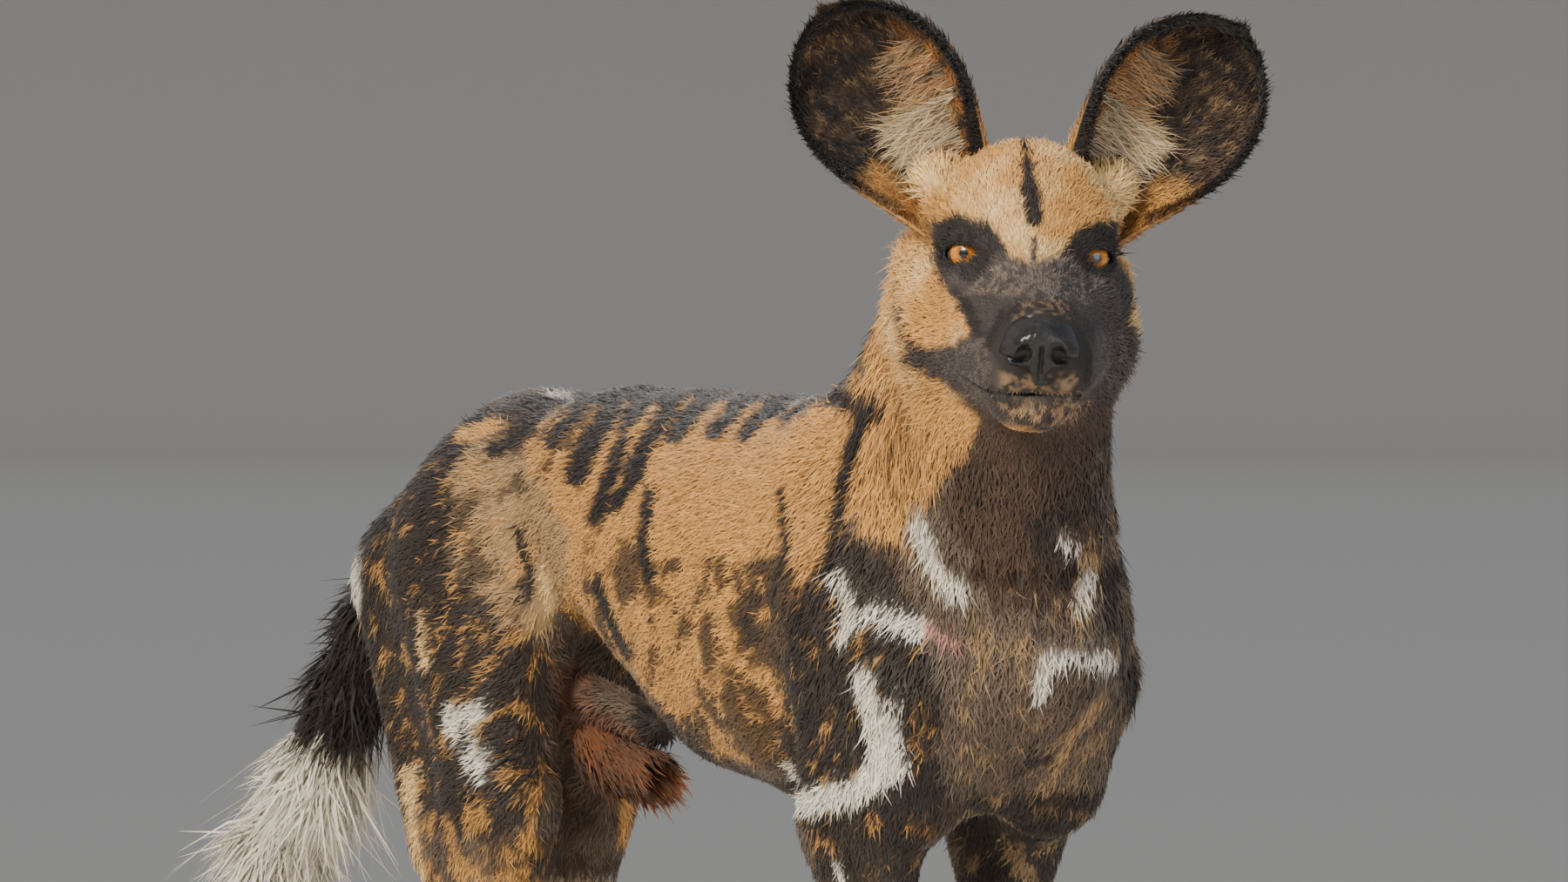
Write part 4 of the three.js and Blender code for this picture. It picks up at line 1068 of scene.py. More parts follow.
# %% [markdown]
# ## Eyes, nose and claws
# The eye is a ball with a clear wet coat. Its iris and pupil come from how far each point is from the line of
# sight, which is stored on the mesh. The nose is a small field of its own with two comma-shaped nostrils.

# %% Eyes
IRIS_RADIUS = 9.2
PUPIL_RADIUS = 2.6
EYE_SIDES, EYE_RINGS = 48, 38


def give_number(piece, name, values):
    layer = piece.data.attributes.new(name, "FLOAT", "POINT")
    layer.data.foreach_set("value", np.asarray(values, np.float32))


eyes = {}
for side, s in SIDES.items():
    look, across, up = eye_axes(s)
    look_in = look + np.array([0, -0.10 * s, -0.02])
    look_in /= np.linalg.norm(look_in)
    turn = np.linspace(0, 2 * math.pi, EYE_SIDES, endpoint=False)
    rise = np.linspace(0, math.pi, EYE_RINGS + 2)
    sphere = []
    for a in rise[1:-1]:
        for b in turn:
            flat = math.sin(a) * (math.cos(b) * across + math.sin(b) * up)
            sphere.append(math.cos(a) * look_in + flat)
    sphere = np.array(sphere + [look_in, -look_in])
    from_axis = np.linalg.norm(sphere - np.outer(sphere @ look_in, look_in), axis=1)
    from_axis = np.where(sphere @ look_in > 0, from_axis, 1) * EYE_RADIUS
    bulge = 0.5 * limited(1 - (from_axis / (IRIS_RADIUS + 0.6)) ** 2)
    points = EYE * [1, s, 1] + sphere * (EYE_RADIUS - 0.3 + bulge)[:, None]
    front, last = EYE_SIDES * EYE_RINGS, EYE_SIDES * (EYE_RINGS - 1)
    faces = tube_faces(EYE_RINGS, EYE_SIDES)
    faces += [(front, (i + 1) % EYE_SIDES, i) for i in range(EYE_SIDES)]
    faces += [(front + 1, last + i, last + (i + 1) % EYE_SIDES) for i in range(EYE_SIDES)]
    eye = mesh_object("eyeball_" + side, to_metres(from_head(points)), faces)
    give_number(eye, "off_axis", from_axis)
    give_number(eye, "around", np.arctan2(sphere @ up, sphere @ across))
    eyes[side] = eye
print("eyeballs:", len(eyes))

# %% [markdown]
# The nose's nostrils are cut as soft tubes that run back and outwards, and its leather is pebbled by noise.

# %% Nose leather


def nose_field(q):
    pads = [
        muscle((90, 0, -34), (99, 0, -37), 11, 10.5, 8),
        muscle((92, -8, -38), (98, -9, -42), 12, 10.5, 8),
        muscle((92, 8, -38), (98, 9, -42), 12, 10.5, 8),
        muscle((94, -15, -44), (90, -16, -46), 7, 7, 6),
        muscle((94, 15, -44), (90, 16, -46), 7, 7, 6),
        muscle((96, 0, -48), (97, 0, -62), 8, 3, 6),
    ]
    d = blended(pads, q) + 0.4
    for s in (-1, 1):
        path = np.array([(112, 8.5 * s, -42), (103, 10.5 * s, -46), (98, 17 * s, -48), (92, 25 * s, -48.5)])
        wide = np.interp(q[:, 1] * s, [6, 12, 24], [4.4, 4.2, 1.6])
        hole = nearest_on(q, path) - wide
        d = -soft_min(-d, hole, 2.0)
    groove = np.sqrt(q[:, 1] ** 2 + np.maximum(0, 98 - q[:, 0]) ** 2 * 0.05) - 0.9
    groove = np.where(q[:, 2] < -40, np.maximum(groove, -(d + 1.6)), 9)
    d = -soft_min(-d, groove, 1.5)
    pebble = smooth_noise(q, 1.7, 5) - 0.5
    return d + 0.35 * pebble * limited((d + 3) / 3)


nose_step = 0.8
nose_axes = [np.arange(a, b, nose_step) for a, b in ((78, 114), (-29, 29), (-70, -18))]
nose_points, nose_faces = surface_net(nose_field, *nose_axes)
nose = mesh_object("nose_pad", to_metres(from_head(nose_points)), nose_faces)
print("nose:", len(nose_faces), "faces")

# %% [markdown]
# Each claw is a tapered tube along five stations, which give its place forwards, its height and its radius.

# %% Claws
CLAW_STATIONS = [(-9, 1, 4), (0, 1.5, 3.8), (6, 0, 3.1), (11, -4, 2.1), (14, -9, 0.7)]
CLAW_SIDES, CLAW_RINGS = 12, 13
claw_faces = tube_faces(CLAW_RINGS, CLAW_SIDES)
claw_faces.append(tuple(reversed(range(CLAW_SIDES))))
claw_faces.append(tuple(range(CLAW_SIDES * (CLAW_RINGS - 1), CLAW_SIDES * CLAW_RINGS)))


def finer(rows, count):
    rows = np.array(rows, float)
    place = np.linspace(0, len(rows) - 1, count)
    return np.stack([np.interp(place, np.arange(len(rows)), column) for column in rows.T], 1)


claws = {}
for name, legs, size in (("forepaw", FORELEG, 1.0), ("hindpaw", HINDLEG, 0.94)):
    for side, s in SIDES.items():
        x0, y0 = legs[side]["paw"]
        for n in range(4):
            flank = -1 if n < 2 else 1
            inner_toe = n in (1, 2)
            root = (40, 9.5 * flank, 14) if inner_toe else (27, 25 * flank, 13.5)
            out = 0 if inner_toe else 0.35 * flank
            points = []
            for along, rise, radius in finer(CLAW_STATIONS, CLAW_RINGS):
                for angle in np.linspace(0, 2 * math.pi, CLAW_SIDES, endpoint=False):
                    over = radius * 0.68 * math.cos(angle)
                    forward = root[0] + along - out * over
                    left = root[1] + out * along + over
                    high = root[2] + rise + radius * 0.92 * math.sin(angle)
                    points.append((x0 + forward * size, s * y0 + left * size, max(high * size, LOWEST_PIECE)))
            key = f"{name}_claw_{n + 1}_{side}"
            claws[key] = mesh_object("horn_" + key, to_metres(points), claw_faces)
print("claws:", len(claws))

# %% [markdown]
# ## The coat
# The hair is a great many small mesh tufts. Each is a flat, tapered, bent blade that is rooted in the skin
# and lies along the way the coat grows: backwards from the nose, down the legs, out to the rim of the ear.
# Hair particles would be quicker to comb, but only real meshes can be exported.

# %% Tools for tufts
QUICK_SHARE = 1.0
BAKE_PATCH = 0.003
LONG_BLADE = [(0.0, 0.75), (0.38, 1.0), (0.74, 0.7)]
SHORT_BLADE = [(0.0, 0.8), (0.5, 1.0)]


def unit(vectors):
    return vectors / np.maximum(np.linalg.norm(vectors, axis=1, keepdims=True), 1e-9)


def flattened(direction, normals):
    return unit(direction - (direction * normals).sum(1, keepdims=True) * normals)


def sample_faces(points, quads, density):
    """Random places on quads, with density in roots per square millimetre at each quad's middle."""
    tri = np.concatenate([quads[:, [0, 1, 2]], quads[:, [0, 2, 3]]])
    first, second, third = (points[tri[:, k]] for k in range(3))
    area = 0.5 * np.linalg.norm(np.cross(second - first, third - first), axis=1)
    wanted = area * np.concatenate([density, density]) * QUICK_SHARE
    count = (wanted + rng.random(len(wanted))).astype(int)
    chosen = np.repeat(np.arange(len(tri)), count)
    u = np.sqrt(rng.random(len(chosen)))
    v = rng.random(len(chosen))
    weights = np.stack([1 - u, u * (1 - v), u * v], 1)
    return tri[chosen], weights


def along_weights(values, tri, weights):
    return (values[tri] * weights[..., None]).sum(1)


print("share of the hair in this run:", QUICK_SHARE)

# %% A mesh of tufts


def tuft_mesh(
    name, roots, normals, lie, length, width, rise, colours, chart, curl=0.25, blade=SHORT_BLADE
):
    """One mesh of blades. rise is how far a blade stands off the skin, as a share of its length."""
    n = len(roots)
    side = unit(np.cross(lie, normals) + 0.25 * rng.normal(size=(n, 3)))
    bend = curl * rng.normal(size=n)
    sunk = 0.12 * length
    rows = len(blade)
    corners = 2 * rows + 1
    vertices = np.zeros((n, corners, 3))
    for k, (t, w) in enumerate(blade):
        up = (rise * (t - 0.45 * t * t) * length)[:, None] * normals
        middle = roots + (t * length)[:, None] * lie + up + (bend * t * t * length)[:, None] * side
        middle = middle - (sunk * (1 - t))[:, None] * normals * (t == 0)
        half = (0.5 * w * width)[:, None] * side
        vertices[:, 2 * k] = middle - half
        vertices[:, 2 * k + 1] = middle + half
    up = (rise * 0.55 * length)[:, None] * normals
    vertices[:, -1] = roots + length[:, None] * lie + up + (bend * length)[:, None] * side
    first = (np.arange(n) * corners)[:, None]
    pattern = [(2 * k, 2 * k + 1, 2 * k + 3, 2 * k, 2 * k + 3, 2 * k + 2) for k in range(rows - 1)]
    pattern = np.array([*np.ravel(pattern), 2 * rows - 2, 2 * rows - 1, 2 * rows]).reshape(-1, 3)
    faces = (first[:, :, None] + pattern[None]).reshape(-1, 3)
    points = vertices.reshape(-1, 3)
    points[:, 2] = np.maximum(points[:, 2], LOWEST_PIECE)
    piece = mesh_object(name, to_metres(points), faces)
    tone = 1 + 0.16 * rng.normal(size=(n, 1, 1)).clip(-2, 2)
    share = np.append(np.repeat([t for t, _ in blade], 2), 1.0)[None, :, None]
    # Painted shade: each blade is darker at its root and a little lighter at its tip, on top of a random
    # tone.
    shade = colours[:, None] * tone * (0.66 + 0.46 * share)
    give_colour(piece, limited(shade).reshape(-1, 3))
    bake_map(piece, chart, corners, faces)
    return piece


def bake_map(piece, chart, corners, faces):
    """A small patch for each tuft, at its root's place on a chart of the skin's own shape."""
    low, high = chart.min(0), chart.max(0)
    spot = 0.01 + 0.98 * (chart - low) / np.maximum(high - low, 1e-9)
    corner = [(side, 2 * (k // 2) / corners * 2 - 1) for k, side in enumerate([-1, 1] * (corners // 2))]
    corner = np.array([*corner, (0, 1)]) * BAKE_PATCH / 2
    uv = limited(spot[:, None] + corner[None]).reshape(-1, 2)
    layer = piece.data.uv_layers.new(name="OFBake")
    layer.data.foreach_set("uv", uv[faces.ravel()].astype(np.float32).ravel())


def chart_round(points, start, end):
    """A chart of length along an axis and angle round it."""
    start, end = np.array(start, float), np.array(end, float)
    axis = unit((end - start)[None])[0]
    first = unit(np.cross(axis, [0.3, 0.9, 0.2])[None])[0]
    second = np.cross(axis, first)
    off = points - start
    return np.stack([off @ axis, np.arctan2(off @ first, off @ second)], 1)


print("corners of a short tuft:", 2 * len(SHORT_BLADE) + 1, "and of a long one:", 2 * len(LONG_BLADE) + 1)

# %% [markdown]
# The skin is split into regions by place, so each coat piece stays small. The place also says how the coat
# lies, how long, wide and dense its tufts are, and how far they stand up, all in millimetres.

# %% Which way the coat lies


def lie_of(points, normals):
    x, y, z = points.T
    q = to_head(points)
    front = limited((x - 150) / 110)[:, None]
    way = np.array([-1.0, 0, -0.42]) * (1 - front) + np.array([-0.25, 0, -1.0]) * front
    rump = limited((-x - 250) / 90)[:, None]
    way = way * (1 - rump) + np.array([-0.5, 0, -1.0]) * rump
    leg = limited((430 - z) / 60)[:, None]
    way = way * (1 - leg) + np.array([-0.2, 0, -1.0]) * leg
    paw = limited((60 - z) / 30)[:, None]
    way = way * (1 - paw) + np.array([0.8, 0, -0.6]) * paw
    tail_part = near_tail(points)[:, None]
    nearest = np.argmin(((points[:, None] - tail_path[None]) ** 2).sum(2), 1)
    tail_way = np.gradient(tail_path, axis=0)[nearest]
    way = np.where(tail_part, tail_way, way)
    from_nose = q - np.array([112, 0, -30])
    from_nose[:, 2] += 0.25 * np.abs(q[:, 1])
    face = (q[:, 0] > -115) & (face_reach(q) < 130) & (z > 630)
    head_way = unit(from_nose) @ head_turn.T
    blend = (limited((130 - face_reach(q)) / 40) * face)[:, None]
    way = unit(way) * (1 - blend) + head_way * blend
    swirl = np.stack([smooth_noise(points, 55, k) - 0.5 for k in (81, 82, 83)], 1)
    return flattened(unit(way) + 0.55 * swirl, normals)


print("the coat over the back lies", lie_of(np.array([[0.0, 0, 660]]), np.array([[0.0, 0, 1]])).round(2))

# %% Regions and sizes of the coat


def in_region(points):
    x, y, z = points.T
    q = to_head(points)
    tail_part = near_tail(points)
    face = (q[:, 0] > -100) & (face_reach(q) < 125) & (z > 640)
    legs = ~tail_part & (z < 400)
    neck_part = ~face & (x > 215) & (z > 400)
    side = np.where(y > 0, "left", "right")
    name = np.where(x > -110, "trunk", "hindquarter").astype(object)
    name[neck_part] = "neck"
    name = name + "_" + side
    name[face] = np.where(q[face, 1] > 0, "face_left", "face_right")
    leg_name = np.where(x > 0, "foreleg_", "hindleg_").astype(object) + side
    name[legs] = leg_name[legs]
    name[tail_part] = "tail"
    return name


def coat_numbers(points):
    """Length, width, density per square millimetre and rise of the tufts at each point."""
    x, y, z = points.T
    q = to_head(points)
    length = np.interp(z, LEG_HEIGHTS, [4, 5, 6, 8, 10])
    width = np.interp(z, LEG_HEIGHTS, [0.7, 0.8, 0.9, 1.0, 1.1])
    density = np.interp(z, LEG_HEIGHTS, [0.45, 0.40, 0.36, 0.32, 0.30])
    rise = np.full(len(points), 0.17)
    throat = np.exp(-(((x - 300) / 90) ** 2) - (((z - 640) / 130) ** 2))
    length = length + 7 * throat
    rise = rise + 0.10 * throat
    face = limited((130 - face_reach(q)) / 30) * (z > 630) * (q[:, 0] > -115)
    face_length = np.interp(q[:, 0], [-80, -40, 0, 40, 90], [16, 12, 6.5, 4.0, 2.6])
    cheek = limited((np.abs(q[:, 1]) - 38) / 20) * (q[:, 0] < 5) * (q[:, 2] < 10)
    face_length = face_length + 7 * cheek
    length = length * (1 - face) + face_length * face
    width = width * (1 - face) + np.interp(q[:, 0], [-80, 0, 90], [1.4, 0.85, 0.6]) * face
    density = density * (1 - face) + np.interp(q[:, 0], [-80, 0, 90], [0.35, 0.75, 1.1]) * face
    rise = rise * (1 - face) + (0.26 + 0.15 * cheek) * face
    tail_part = near_tail(points)
    tail_length = np.interp(z, [292, 330, 370, 410, 560], [16, 32, 54, 62, 20])
    length = np.where(tail_part, tail_length, length)
    width = np.where(tail_part, 2.0, width)
    density = np.where(tail_part, 0.42, density)
    rise = np.where(tail_part, 0.40, rise)
    return length, width, density, rise


def bare(points):
    """True where no hair grows: nose, lips, lids and soles."""
    q = to_head(points)
    none = points[:, 2] < 3.0
    none |= (q[:, 0] > 88) & (q[:, 2] > -66) & (np.linalg.norm(q, axis=1) < 125)
    above, back = mouth_line(q)
    none |= (np.abs(above) < 1.6) & (back < 1) & (q[:, 0] > 0) & (np.linalg.norm(q, axis=1) < 130)
    for s in (-1, 1):
        off = np.linalg.norm(q - EYE * [1, s, 1], axis=1)
        close = off < 30
        if close.any():
            rim = np.full(len(points), 99.0)
            rim[close] = nearest_on(q[close], lid_edge(s), True)
            inside = np.zeros(len(points), bool)
            inside[close] = eye_opening(s, q[close]) < 0
            none |= (rim < 1.8) | (inside & (off < 22))
    return none


print("leg hair from the paw up, mm:", coat_numbers(np.array([[240.0, -50, h] for h in LEG_HEIGHTS]))[0])

# %% [markdown]
# Roots are scattered over the skin by the coat's density, and each region's tufts become one piece, or more
# where there are too many for one.

# %% Grow the coat
middles = skin_points[skin_faces].mean(1)
_, _, density, _ = coat_numbers(middles)
tri, weights = sample_faces(skin_points, skin_faces, density)
roots = along_weights(skin_points, tri, weights)
root_normals = unit(along_weights(skin_normals, tri, weights))
keep = ~bare(roots)
roots, root_normals = roots[keep], root_normals[keep]
length, width, _, rise = coat_numbers(roots)
length = length * np.clip(1 + 0.28 * rng.normal(size=len(roots)), 0.5, 1.6)
lie = flattened(lie_of(roots, root_normals) + 0.16 * rng.normal(size=roots.shape), root_normals)
root_colours = wild_dog_colour(roots, root_normals)
regions = in_region(roots)
AXES = {
    "trunk": ((-110, 0, 560), (215, 0, 540)), "hindquarter": ((-380, 0, 560), (-110, 0, 580)),
    "neck": ((215, 0, 560), (340, -30, 690)), "face": ((330, -30, 700), (450, -75, 720)),
    "foreleg": ((220, 0, 0), (220, 0, 400)), "hindleg": ((-320, 0, 0), (-320, 0, 400)),
    "tail": ((-390, 0, 560), (-590, -16, 300)),
}
LEG_OUT = 55
MOST_TUFTS = 62000
coat = {}
for region in sorted(set(regions)):
    chosen = np.where(regions == region)[0]
    axis = AXES[region.split("_")[0]]
    if region.startswith(("foreleg", "hindleg")):
        shift = np.array([0, LEG_OUT if region.endswith("left") else -LEG_OUT, 0])
        axis = tuple(np.array(a) + shift for a in axis)
    parts = np.array_split(rng.permutation(chosen), math.ceil(len(chosen) / MOST_TUFTS))
    for n, pick in enumerate(parts):
        name = f"coat_{region}_{n + 1}"
        coat[name] = tuft_mesh(
            name, roots[pick], root_normals[pick], lie[pick], length[pick], width[pick], rise[pick],
            root_colours[pick], chart_round(roots[pick], *axis)
        )
print("coat:", len(roots), "tufts in", len(coat), "pieces")
for name, piece in coat.items():
    print(" ", name, len(piece.data.polygons))

# %% [markdown]
# ## Hair of the ears
# The cup of a wild dog's ear is dark and thinly haired, with long pale hairs that rise from its inner edge.
# Short dark hair covers the back, and a fringe stands along the rim.

# %% Hair of the ears


def ear_points(sheet, other, along, across, count, low, high, left, right):
    """Random places on a sheet of the ear, with their normals and their place on the cup."""
    rows, columns = sheet.shape[:2]
    v = low + (high - low) * rng.random(count)
    u = left + (right - left) * rng.random(count)
    i = np.interp(v, along, np.arange(rows))
    j = np.interp(u, across, np.arange(columns))
    i0, j0 = np.minimum(i.astype(int), rows - 2), np.minimum(j.astype(int), columns - 2)
    a, b = (i - i0)[:, None], (j - j0)[:, None]
    p = sheet[i0, j0] * (1 - a) * (1 - b) + sheet[i0 + 1, j0] * a * (1 - b)
    p = p + sheet[i0, j0 + 1] * (1 - a) * b + sheet[i0 + 1, j0 + 1] * a * b
    du = sheet[i0, j0 + 1] - sheet[i0, j0]
    dv = sheet[i0 + 1, j0] - sheet[i0, j0]
    n = unit(np.cross(du, dv))
    away = sheet[i0, j0] - other[i0, j0]
    return p, n * np.sign((n * away).sum(1, keepdims=True)), unit(du), unit(dv), v, u


print("edge of the left ear, mm:", to_metres(ear_parts["left"][0][-1]).mean(0).round(3) * 1000)

# %% Grow the hair of the ears
for side, s in SIDES.items():
    inner, outer, along, across = ear_parts[side]
    sets = [
        # sheet, count, low, high, left, right, length, width, rise, lie kind
        (0, 13500, -0.18, 0.98, -0.98, 0.98, 5.5, 0.8, 0.30, "fan"),
        (1, 15500, -0.2, 0.99, -0.99, 0.99, 6.5, 0.9, 0.22, "up"),
        (0, 1300, 0.10, 0.38, 0.0, 0.58, 20, 0.6, 0.30, "long"),
        (0, 700, 0.32, 0.66, 0.3, 0.8, 13, 0.6, 0.36, "long"),
        (0, 3600, 0.02, 0.985, 0.93, 1.0, 7.5, 0.8, 0.5, "rim"),
        (0, 3600, 0.02, 0.985, -1.0, -0.93, 7.5, 0.8, 0.5, "rim"),
        (0, 900, 0.95, 1.0, -1.0, 1.0, 7.0, 0.8, 0.6, "rim"),
    ]
    gathered = [[] for _ in range(7)]
    for which, count, low, high, left, right, hair, wide, stand, kind in sets:
        sheet, other = (inner, outer) if which == 0 else (outer, inner)
        if kind == "long" and s > 0:
            left, right = -right, -left
        p, n, du, dv, v, u = ear_points(
            sheet, other, along, across, int(count * QUICK_SHARE), low, high, left, right
        )
        towards = np.sign(u)[:, None] * du
        if kind == "fan":
            way = dv + 0.9 * towards * np.abs(u)[:, None]
        elif kind == "up":
            way = dv + 0.2 * du
        elif kind == "rim":
            way = towards * limited(1.4 - v)[:, None] + dv * (0.25 + v[:, None] ** 3) + 0.5 * n
        else:
            way = 0.25 * dv - 1.1 * towards + 0.35 * n
        spread = 0.18 * rng.normal(size=p.shape)
        shade = ear_colour(p, v, u, which == 0, s)
        if kind == "long":
            white = np.where(v < 0.36, 0.8, 0.25) * (0.5 + 0.5 * rng.random(len(p)))
            shade = mixed(shade, linear(214, 200, 172), white)
        if kind == "rim":
            shade = mixed(shade, DARK, np.full(len(p), 0.5))
        size = hair * np.clip(1 + 0.3 * rng.normal(size=len(p)), 0.4, 1.7)
        for store, value in zip(
            gathered, (p, n, unit(unit(way) + spread), size, np.full(len(p), wide),
                       np.full(len(p), stand), shade)
        ):
            store.append(value)
    p, n, way, size, wide, stand, shade = (np.concatenate(part) for part in gathered)
    chart = chart_round(p, from_head(EAR_ROOT * [1, s, 1]), from_head(EAR_TIP * [1, s, 1]))
    name = "coat_ear_" + side
    coat[name] = tuft_mesh(name, p, n, way, size, wide, stand, shade, chart)
    print(name, len(coat[name].data.polygons), "faces")

# %% [markdown]
# ## The brush of the tail and the belly tuft
# The tail's hair is long, so it is made as locks: wide at the root, bent along the tail, in several lengths.

# %% Long locks


def long_locks(name, count, centre_at, radius_at, colour_at, hair, wide, low, high, droop):
    """Long blades all round a path, from share low to share high of its length."""
    count = max(50, int(count * QUICK_SHARE))
    share = low + (high - low) * rng.random(count) ** 0.9
    centre = centre_at(share)
    tangent = unit(centre_at(np.minimum(share + 0.02, 1.02)) - centre)
    first = unit(np.cross(tangent, np.array([0.0, 1, 0])))
    second = np.cross(tangent, first)
    angle = 2 * math.pi * rng.random(count)
    n = np.cos(angle)[:, None] * first + np.sin(angle)[:, None] * second
    p = centre + radius_at(share)[:, None] * n
    way = unit(tangent + 0.10 * rng.normal(size=n.shape) + droop * np.array([0, 0, -1.0]))
    size = hair(share) * np.clip(1 + 0.22 * rng.normal(size=count), 0.4, 1.5)
    chart = np.stack([share, angle], 1)
    return tuft_mesh(
        name, p, n, way, size, np.full(count, wide), np.full(count, 0.22), colour_at(p), chart, 0.06,
        LONG_BLADE,
    )


def along_path(path, share):
    """Points at shares of a path, where its corners count as evenly spaced."""
    place = np.clip(share, 0, 1.05) * (len(path) - 1)
    return np.stack([np.interp(place, np.arange(len(path)), path[:, k]) for k in range(3)], 1)


def tail_at(share):
    past = np.maximum(np.clip(share, 0, 1.05) - 1, 0) * (len(tail_path) - 1)
    return along_path(tail_path, share) + (tail_path[-1] - tail_path[-2]) * past[:, None]


def tail_colour(points):
    fleck = rough_noise(points, 14, 91)
    white = limited((478 - points[:, 2] + 18 * (fleck - 0.5)) / 5)
    cream = mixed(plain(WHITE, points), PALE_TAN, limited((fleck - 0.5) * 3) * 0.5)
    return mixed(plain(DARK, points), cream, white)


print("the tail's core ends at", tail_at(np.ones(1)).round(1))

# %% Grow the locks
coat["coat_tail_locks"] = long_locks(
    "coat_tail_locks", 17000, tail_at,
    lambda t: np.interp(t, [0, 1], [14, 6]), tail_colour,
    lambda t: np.interp(t, [0.2, 0.5, 0.75, 1.0], [26, 58, 62, 28]), 1.3, 0.22, 0.97, 0.05,
)
sheath_path = np.array([(-198, -2, 452), (-160, -4, 443), (-120, -4, 440)], float)


def sheath_at(share):
    return along_path(sheath_path, share)


coat["coat_belly_tuft"] = long_locks(
    "coat_belly_tuft", 2600, sheath_at, lambda t: np.interp(t, [0, 1], [15, 10]),
    lambda p: mixed(plain(RED_BROWN, p), UMBER, rough_noise(p, 9, 95)),
    lambda t: np.interp(t, [0, 1], [16, 26]), 1.3, 0.05, 0.98, 0.45,
)
print("locks:", len(coat["coat_tail_locks"].data.polygons), "faces")

# %% [markdown]
# ## Materials
# A node graph is easier to read as sums, so a small class wraps a socket and gives it plus and times. The
# coat takes its colour from the stored markings and the painted shade at each tuft's root, broken up by fine
# noise.

# %% Shader tools


class Value:
    def __init__(self, graph, socket):
        self.graph, self.socket = graph, socket

    def math(self, operation, *others):
        return self.graph.node("ShaderNodeMath", {"operation": operation}, [self, *others])

    def __add__(self, other):
        return self.math("ADD", other)

    def __mul__(self, other):
        return self.math("MULTIPLY", other)


class Graph:
    def __init__(self, name):
        self.material = bpy.data.materials.new(name)
        self.material.use_nodes = True
        self.tree = self.material.node_tree
        self.surface = self.tree.nodes["Principled BSDF"]

    def node(self, kind, settings=None, values=(), output=0):
        made = self.tree.nodes.new(kind)
        for key, value in (settings or {}).items():
            setattr(made, key, value)
        pairs = values.items() if isinstance(values, dict) else enumerate(values)
        for key, value in pairs:
            self.put(made.inputs[key], value)
        return Value(self, made.outputs[output])

    def put(self, socket, value):
        if isinstance(value, Value):
            self.tree.links.new(value.socket, socket)
        elif hasattr(socket.default_value, "__len__"):
            colour = list(value) + [1.0] * (len(socket.default_value) - len(value))
            socket.default_value = colour
        else:
            socket.default_value = value

    def set(self, **inputs):
        """Sets inputs of the surface, whose names are written here with _ for each space."""
        for key, value in inputs.items():
            self.put(self.surface.inputs[key.replace("_", " ")], value)

    def attribute(self, name, output="Color"):
        return self.node("ShaderNodeAttribute", {"attribute_name": name}, (), output)

    def noise(self, scale, detail=3.0):
        place = self.node("ShaderNodeTexCoord", {}, (), "Object")
        return self.node("ShaderNodeTexNoise", {}, {"Vector": place, "Scale": scale, "Detail": detail})

    def mix(self, share, a, b, blend="MIX"):
        settings = {"data_type": "RGBA", "blend_type": blend}
        return self.node("ShaderNodeMix", settings, {0: share, 6: a, 7: b}, 2)

    def shade(self, colour, factor):
        grey = self.node("ShaderNodeCombineColor", {}, [factor, factor, factor])
        return self.mix(1.0, colour, grey, "MULTIPLY")

    def ramp(self, value, low, high, to_low=0.0, to_high=1.0):
        return self.node("ShaderNodeMapRange", {}, [value, low, high, to_low, to_high])

    def bump(self, height, strength, distance):
        values = {"Height": height, "Strength": strength, "Distance": distance}
        return self.node("ShaderNodeBump", {}, values, "Normal")


print("shader tools: sums of sockets, noise, mixes, ramps and bumps")

# %% Finishes


def hair_material():
    graph = Graph("dog_hair")
    fine = 420
    tone = graph.noise(fine, 2.0) * 0.5 + 0.76
    graph.set(Base_Color=graph.shade(graph.attribute("coat_colour"), tone), Roughness=0.62)
    graph.set(Normal=graph.bump(graph.noise(fine * 4), 0.25, 0.0004))
    graph.set(Specular_IOR_Level=0.28, Sheen_Weight=0.12, Sheen_Roughness=0.5)
    return graph.material


def skin_material():
    graph = Graph("dog_skin")
    fine = graph.noise(900, 4.0)
    # Painted shade: the skin shows the markings at about two thirds of their brightness, as the shade beneath
    # the coat, broken up by fine noise.
    tone = fine * 0.5 + 0.42
    graph.set(Base_Color=graph.shade(graph.attribute("coat_colour"), tone))
    graph.set(Roughness=graph.ramp(fine, 0.3, 0.7, 0.6, 0.85))
    graph.set(Normal=graph.bump(fine, 0.5, 0.0006))
    return graph.material


def eye_material():
    graph = Graph("amber_eye")
    off = graph.attribute("off_axis", "Fac")
    around = graph.attribute("around", "Fac")
    rays = graph.node("ShaderNodeTexNoise", {"noise_dimensions": "2D"}, {"Scale": 1.0, "Detail": 3.0})
    place = graph.node("ShaderNodeCombineXYZ", {}, [around * 9, off * 0.5, 0.0])
    graph.put(rays.socket.node.inputs["Vector"], place)
    amber = graph.mix(graph.ramp(rays, 0.35, 0.65), (0.50, 0.15, 0.012), (0.78, 0.31, 0.03))
    inner = graph.mix(graph.ramp(off, PUPIL_RADIUS, PUPIL_RADIUS + 2.4), (0.26, 0.08, 0.01), amber)
    ringed = graph.mix(graph.ramp(off, IRIS_RADIUS - 1.5, IRIS_RADIUS - 0.2), inner, (0.05, 0.02, 0.01))
    white = graph.mix(graph.ramp(off, IRIS_RADIUS, IRIS_RADIUS + 0.7), ringed, (0.16, 0.10, 0.08))
    black = graph.mix(graph.ramp(off, PUPIL_RADIUS - 0.3, PUPIL_RADIUS + 0.3), (0.004, 0.004, 0.004), white)
    graph.set(Base_Color=black, Roughness=0.25, Coat_Weight=1.0, Coat_Roughness=0.02)
    return graph.material


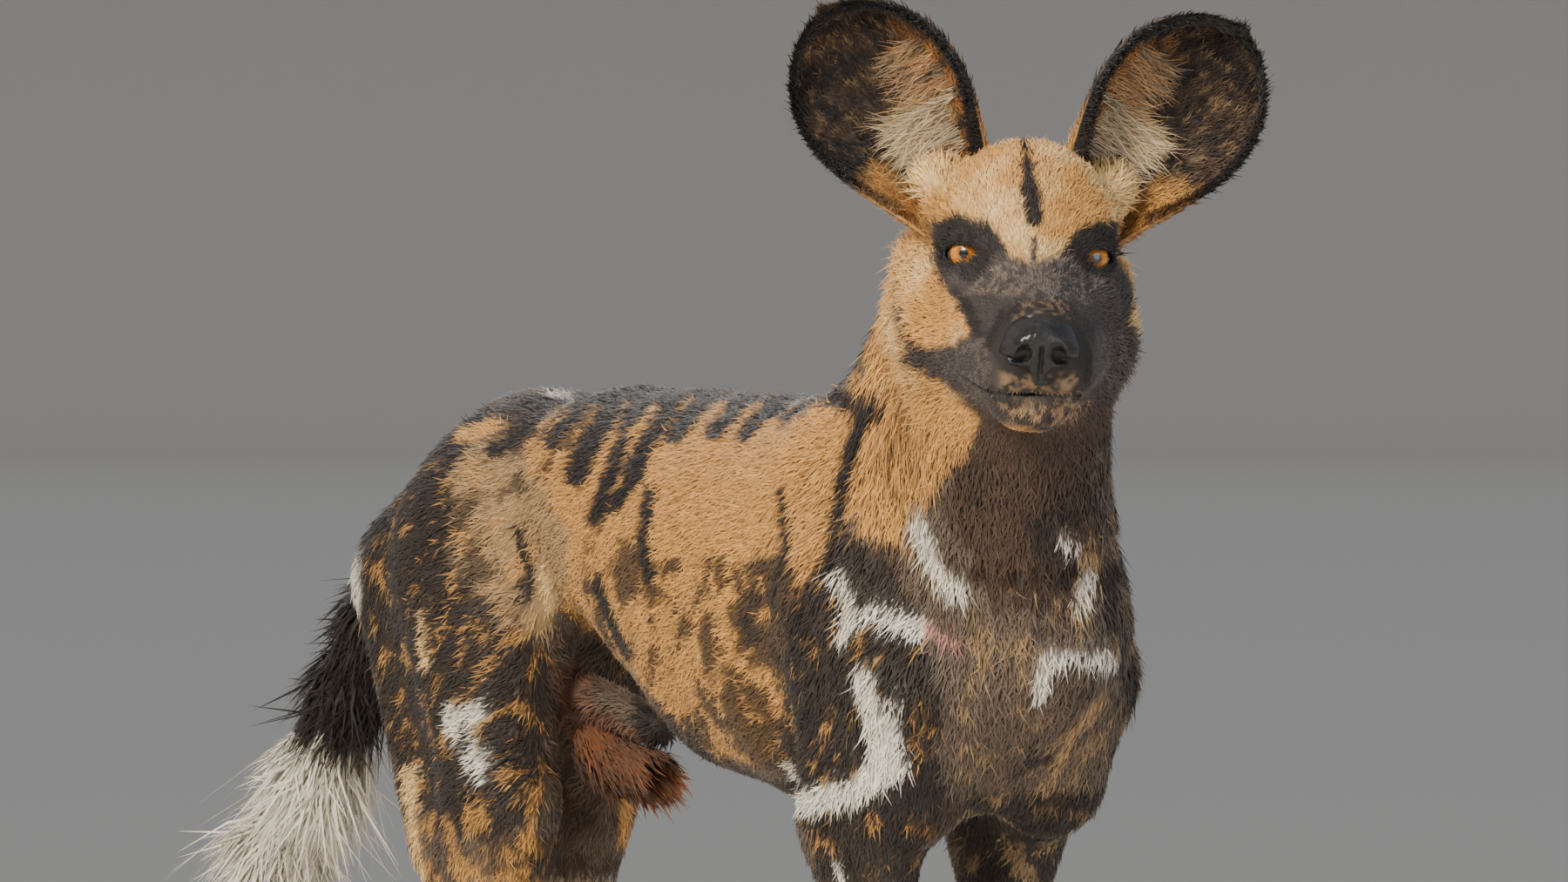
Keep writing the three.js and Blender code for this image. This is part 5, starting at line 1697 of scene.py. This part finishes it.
def nose_material():
    graph = Graph("wet_nose")
    pebbles = graph.node("ShaderNodeTexVoronoi", {}, {"Scale": 620.0}, "Distance")
    fine = graph.noise(500, 4.0)
    colour = graph.mix(graph.ramp(fine, 0.35, 0.7), (0.004, 0.004, 0.005), (0.018, 0.016, 0.017))
    graph.set(Base_Color=colour, Roughness=graph.ramp(fine, 0.3, 0.7, 0.30, 0.5))
    graph.set(Normal=graph.bump(pebbles, 0.45, 0.0005))
    graph.set(Specular_IOR_Level=0.3, Coat_Weight=0.35, Coat_Roughness=0.15)
    return graph.material


def horn_material():
    graph = Graph("claw_keratin")
    streak = graph.noise(260, 4.0)
    horn = graph.mix(graph.ramp(streak, 0.3, 0.7), (0.03, 0.024, 0.02), (0.11, 0.085, 0.065))
    graph.set(Base_Color=horn, Roughness=graph.ramp(streak, 0.3, 0.7, 0.32, 0.55))
    graph.set(Normal=graph.bump(streak, 0.3, 0.0003))
    return graph.material


print("finishes: hair, skin, eye, nose and horn")

# %% [markdown]
# Ears and body share one skin finish, which shows the markings darker as painted shade beneath the coat.
# Every coat piece has the same hair, so its colour comes from the markings and the painted shade at the
# tufts' roots.

# %% Finish each piece
for pieces, finish in (
    (coat.values(), hair_material()),
    ([skin, *ears.values()], skin_material()),
    (eyes.values(), eye_material()),
    ([nose], nose_material()),
    (claws.values(), horn_material()),
):
    for piece in pieces:
        piece.data.materials.append(finish)
print("materials:", len(bpy.data.materials))

# %% [markdown]
# ## Tie every piece to the frame
# Each piece rides on the one body, and the plain solids that the pieces stand for are hidden.

# %% Tie every piece to the frame
LEG_NODES = ["upper_arm", "forearm", "wrist", "forepaw", "thigh", "shank", "hock", "hindpaw"]
flesh_nodes = ["torso", "neck", "head", "tail"]
flesh_nodes += [f"{part}_{side}" for part in LEG_NODES for side in SIDES]
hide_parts(*flesh_nodes)
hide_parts("tail_brush")
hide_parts("belly_tuft")
for side in SIDES:
    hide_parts("ear_" + side)
    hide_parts("eye_" + side)
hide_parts("nose")
for key, piece in claws.items():
    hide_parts(key)
for name, piece in coat.items():
    kind = "dark" if "ear" in name else "white" if "tail" in name else "russet" if "belly" in name else "tan"
    kind + "_coat"
for piece in [skin, nose, *ears.values(), *eyes.values(), *claws.values(), *coat.values()]:
    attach(piece, "root")
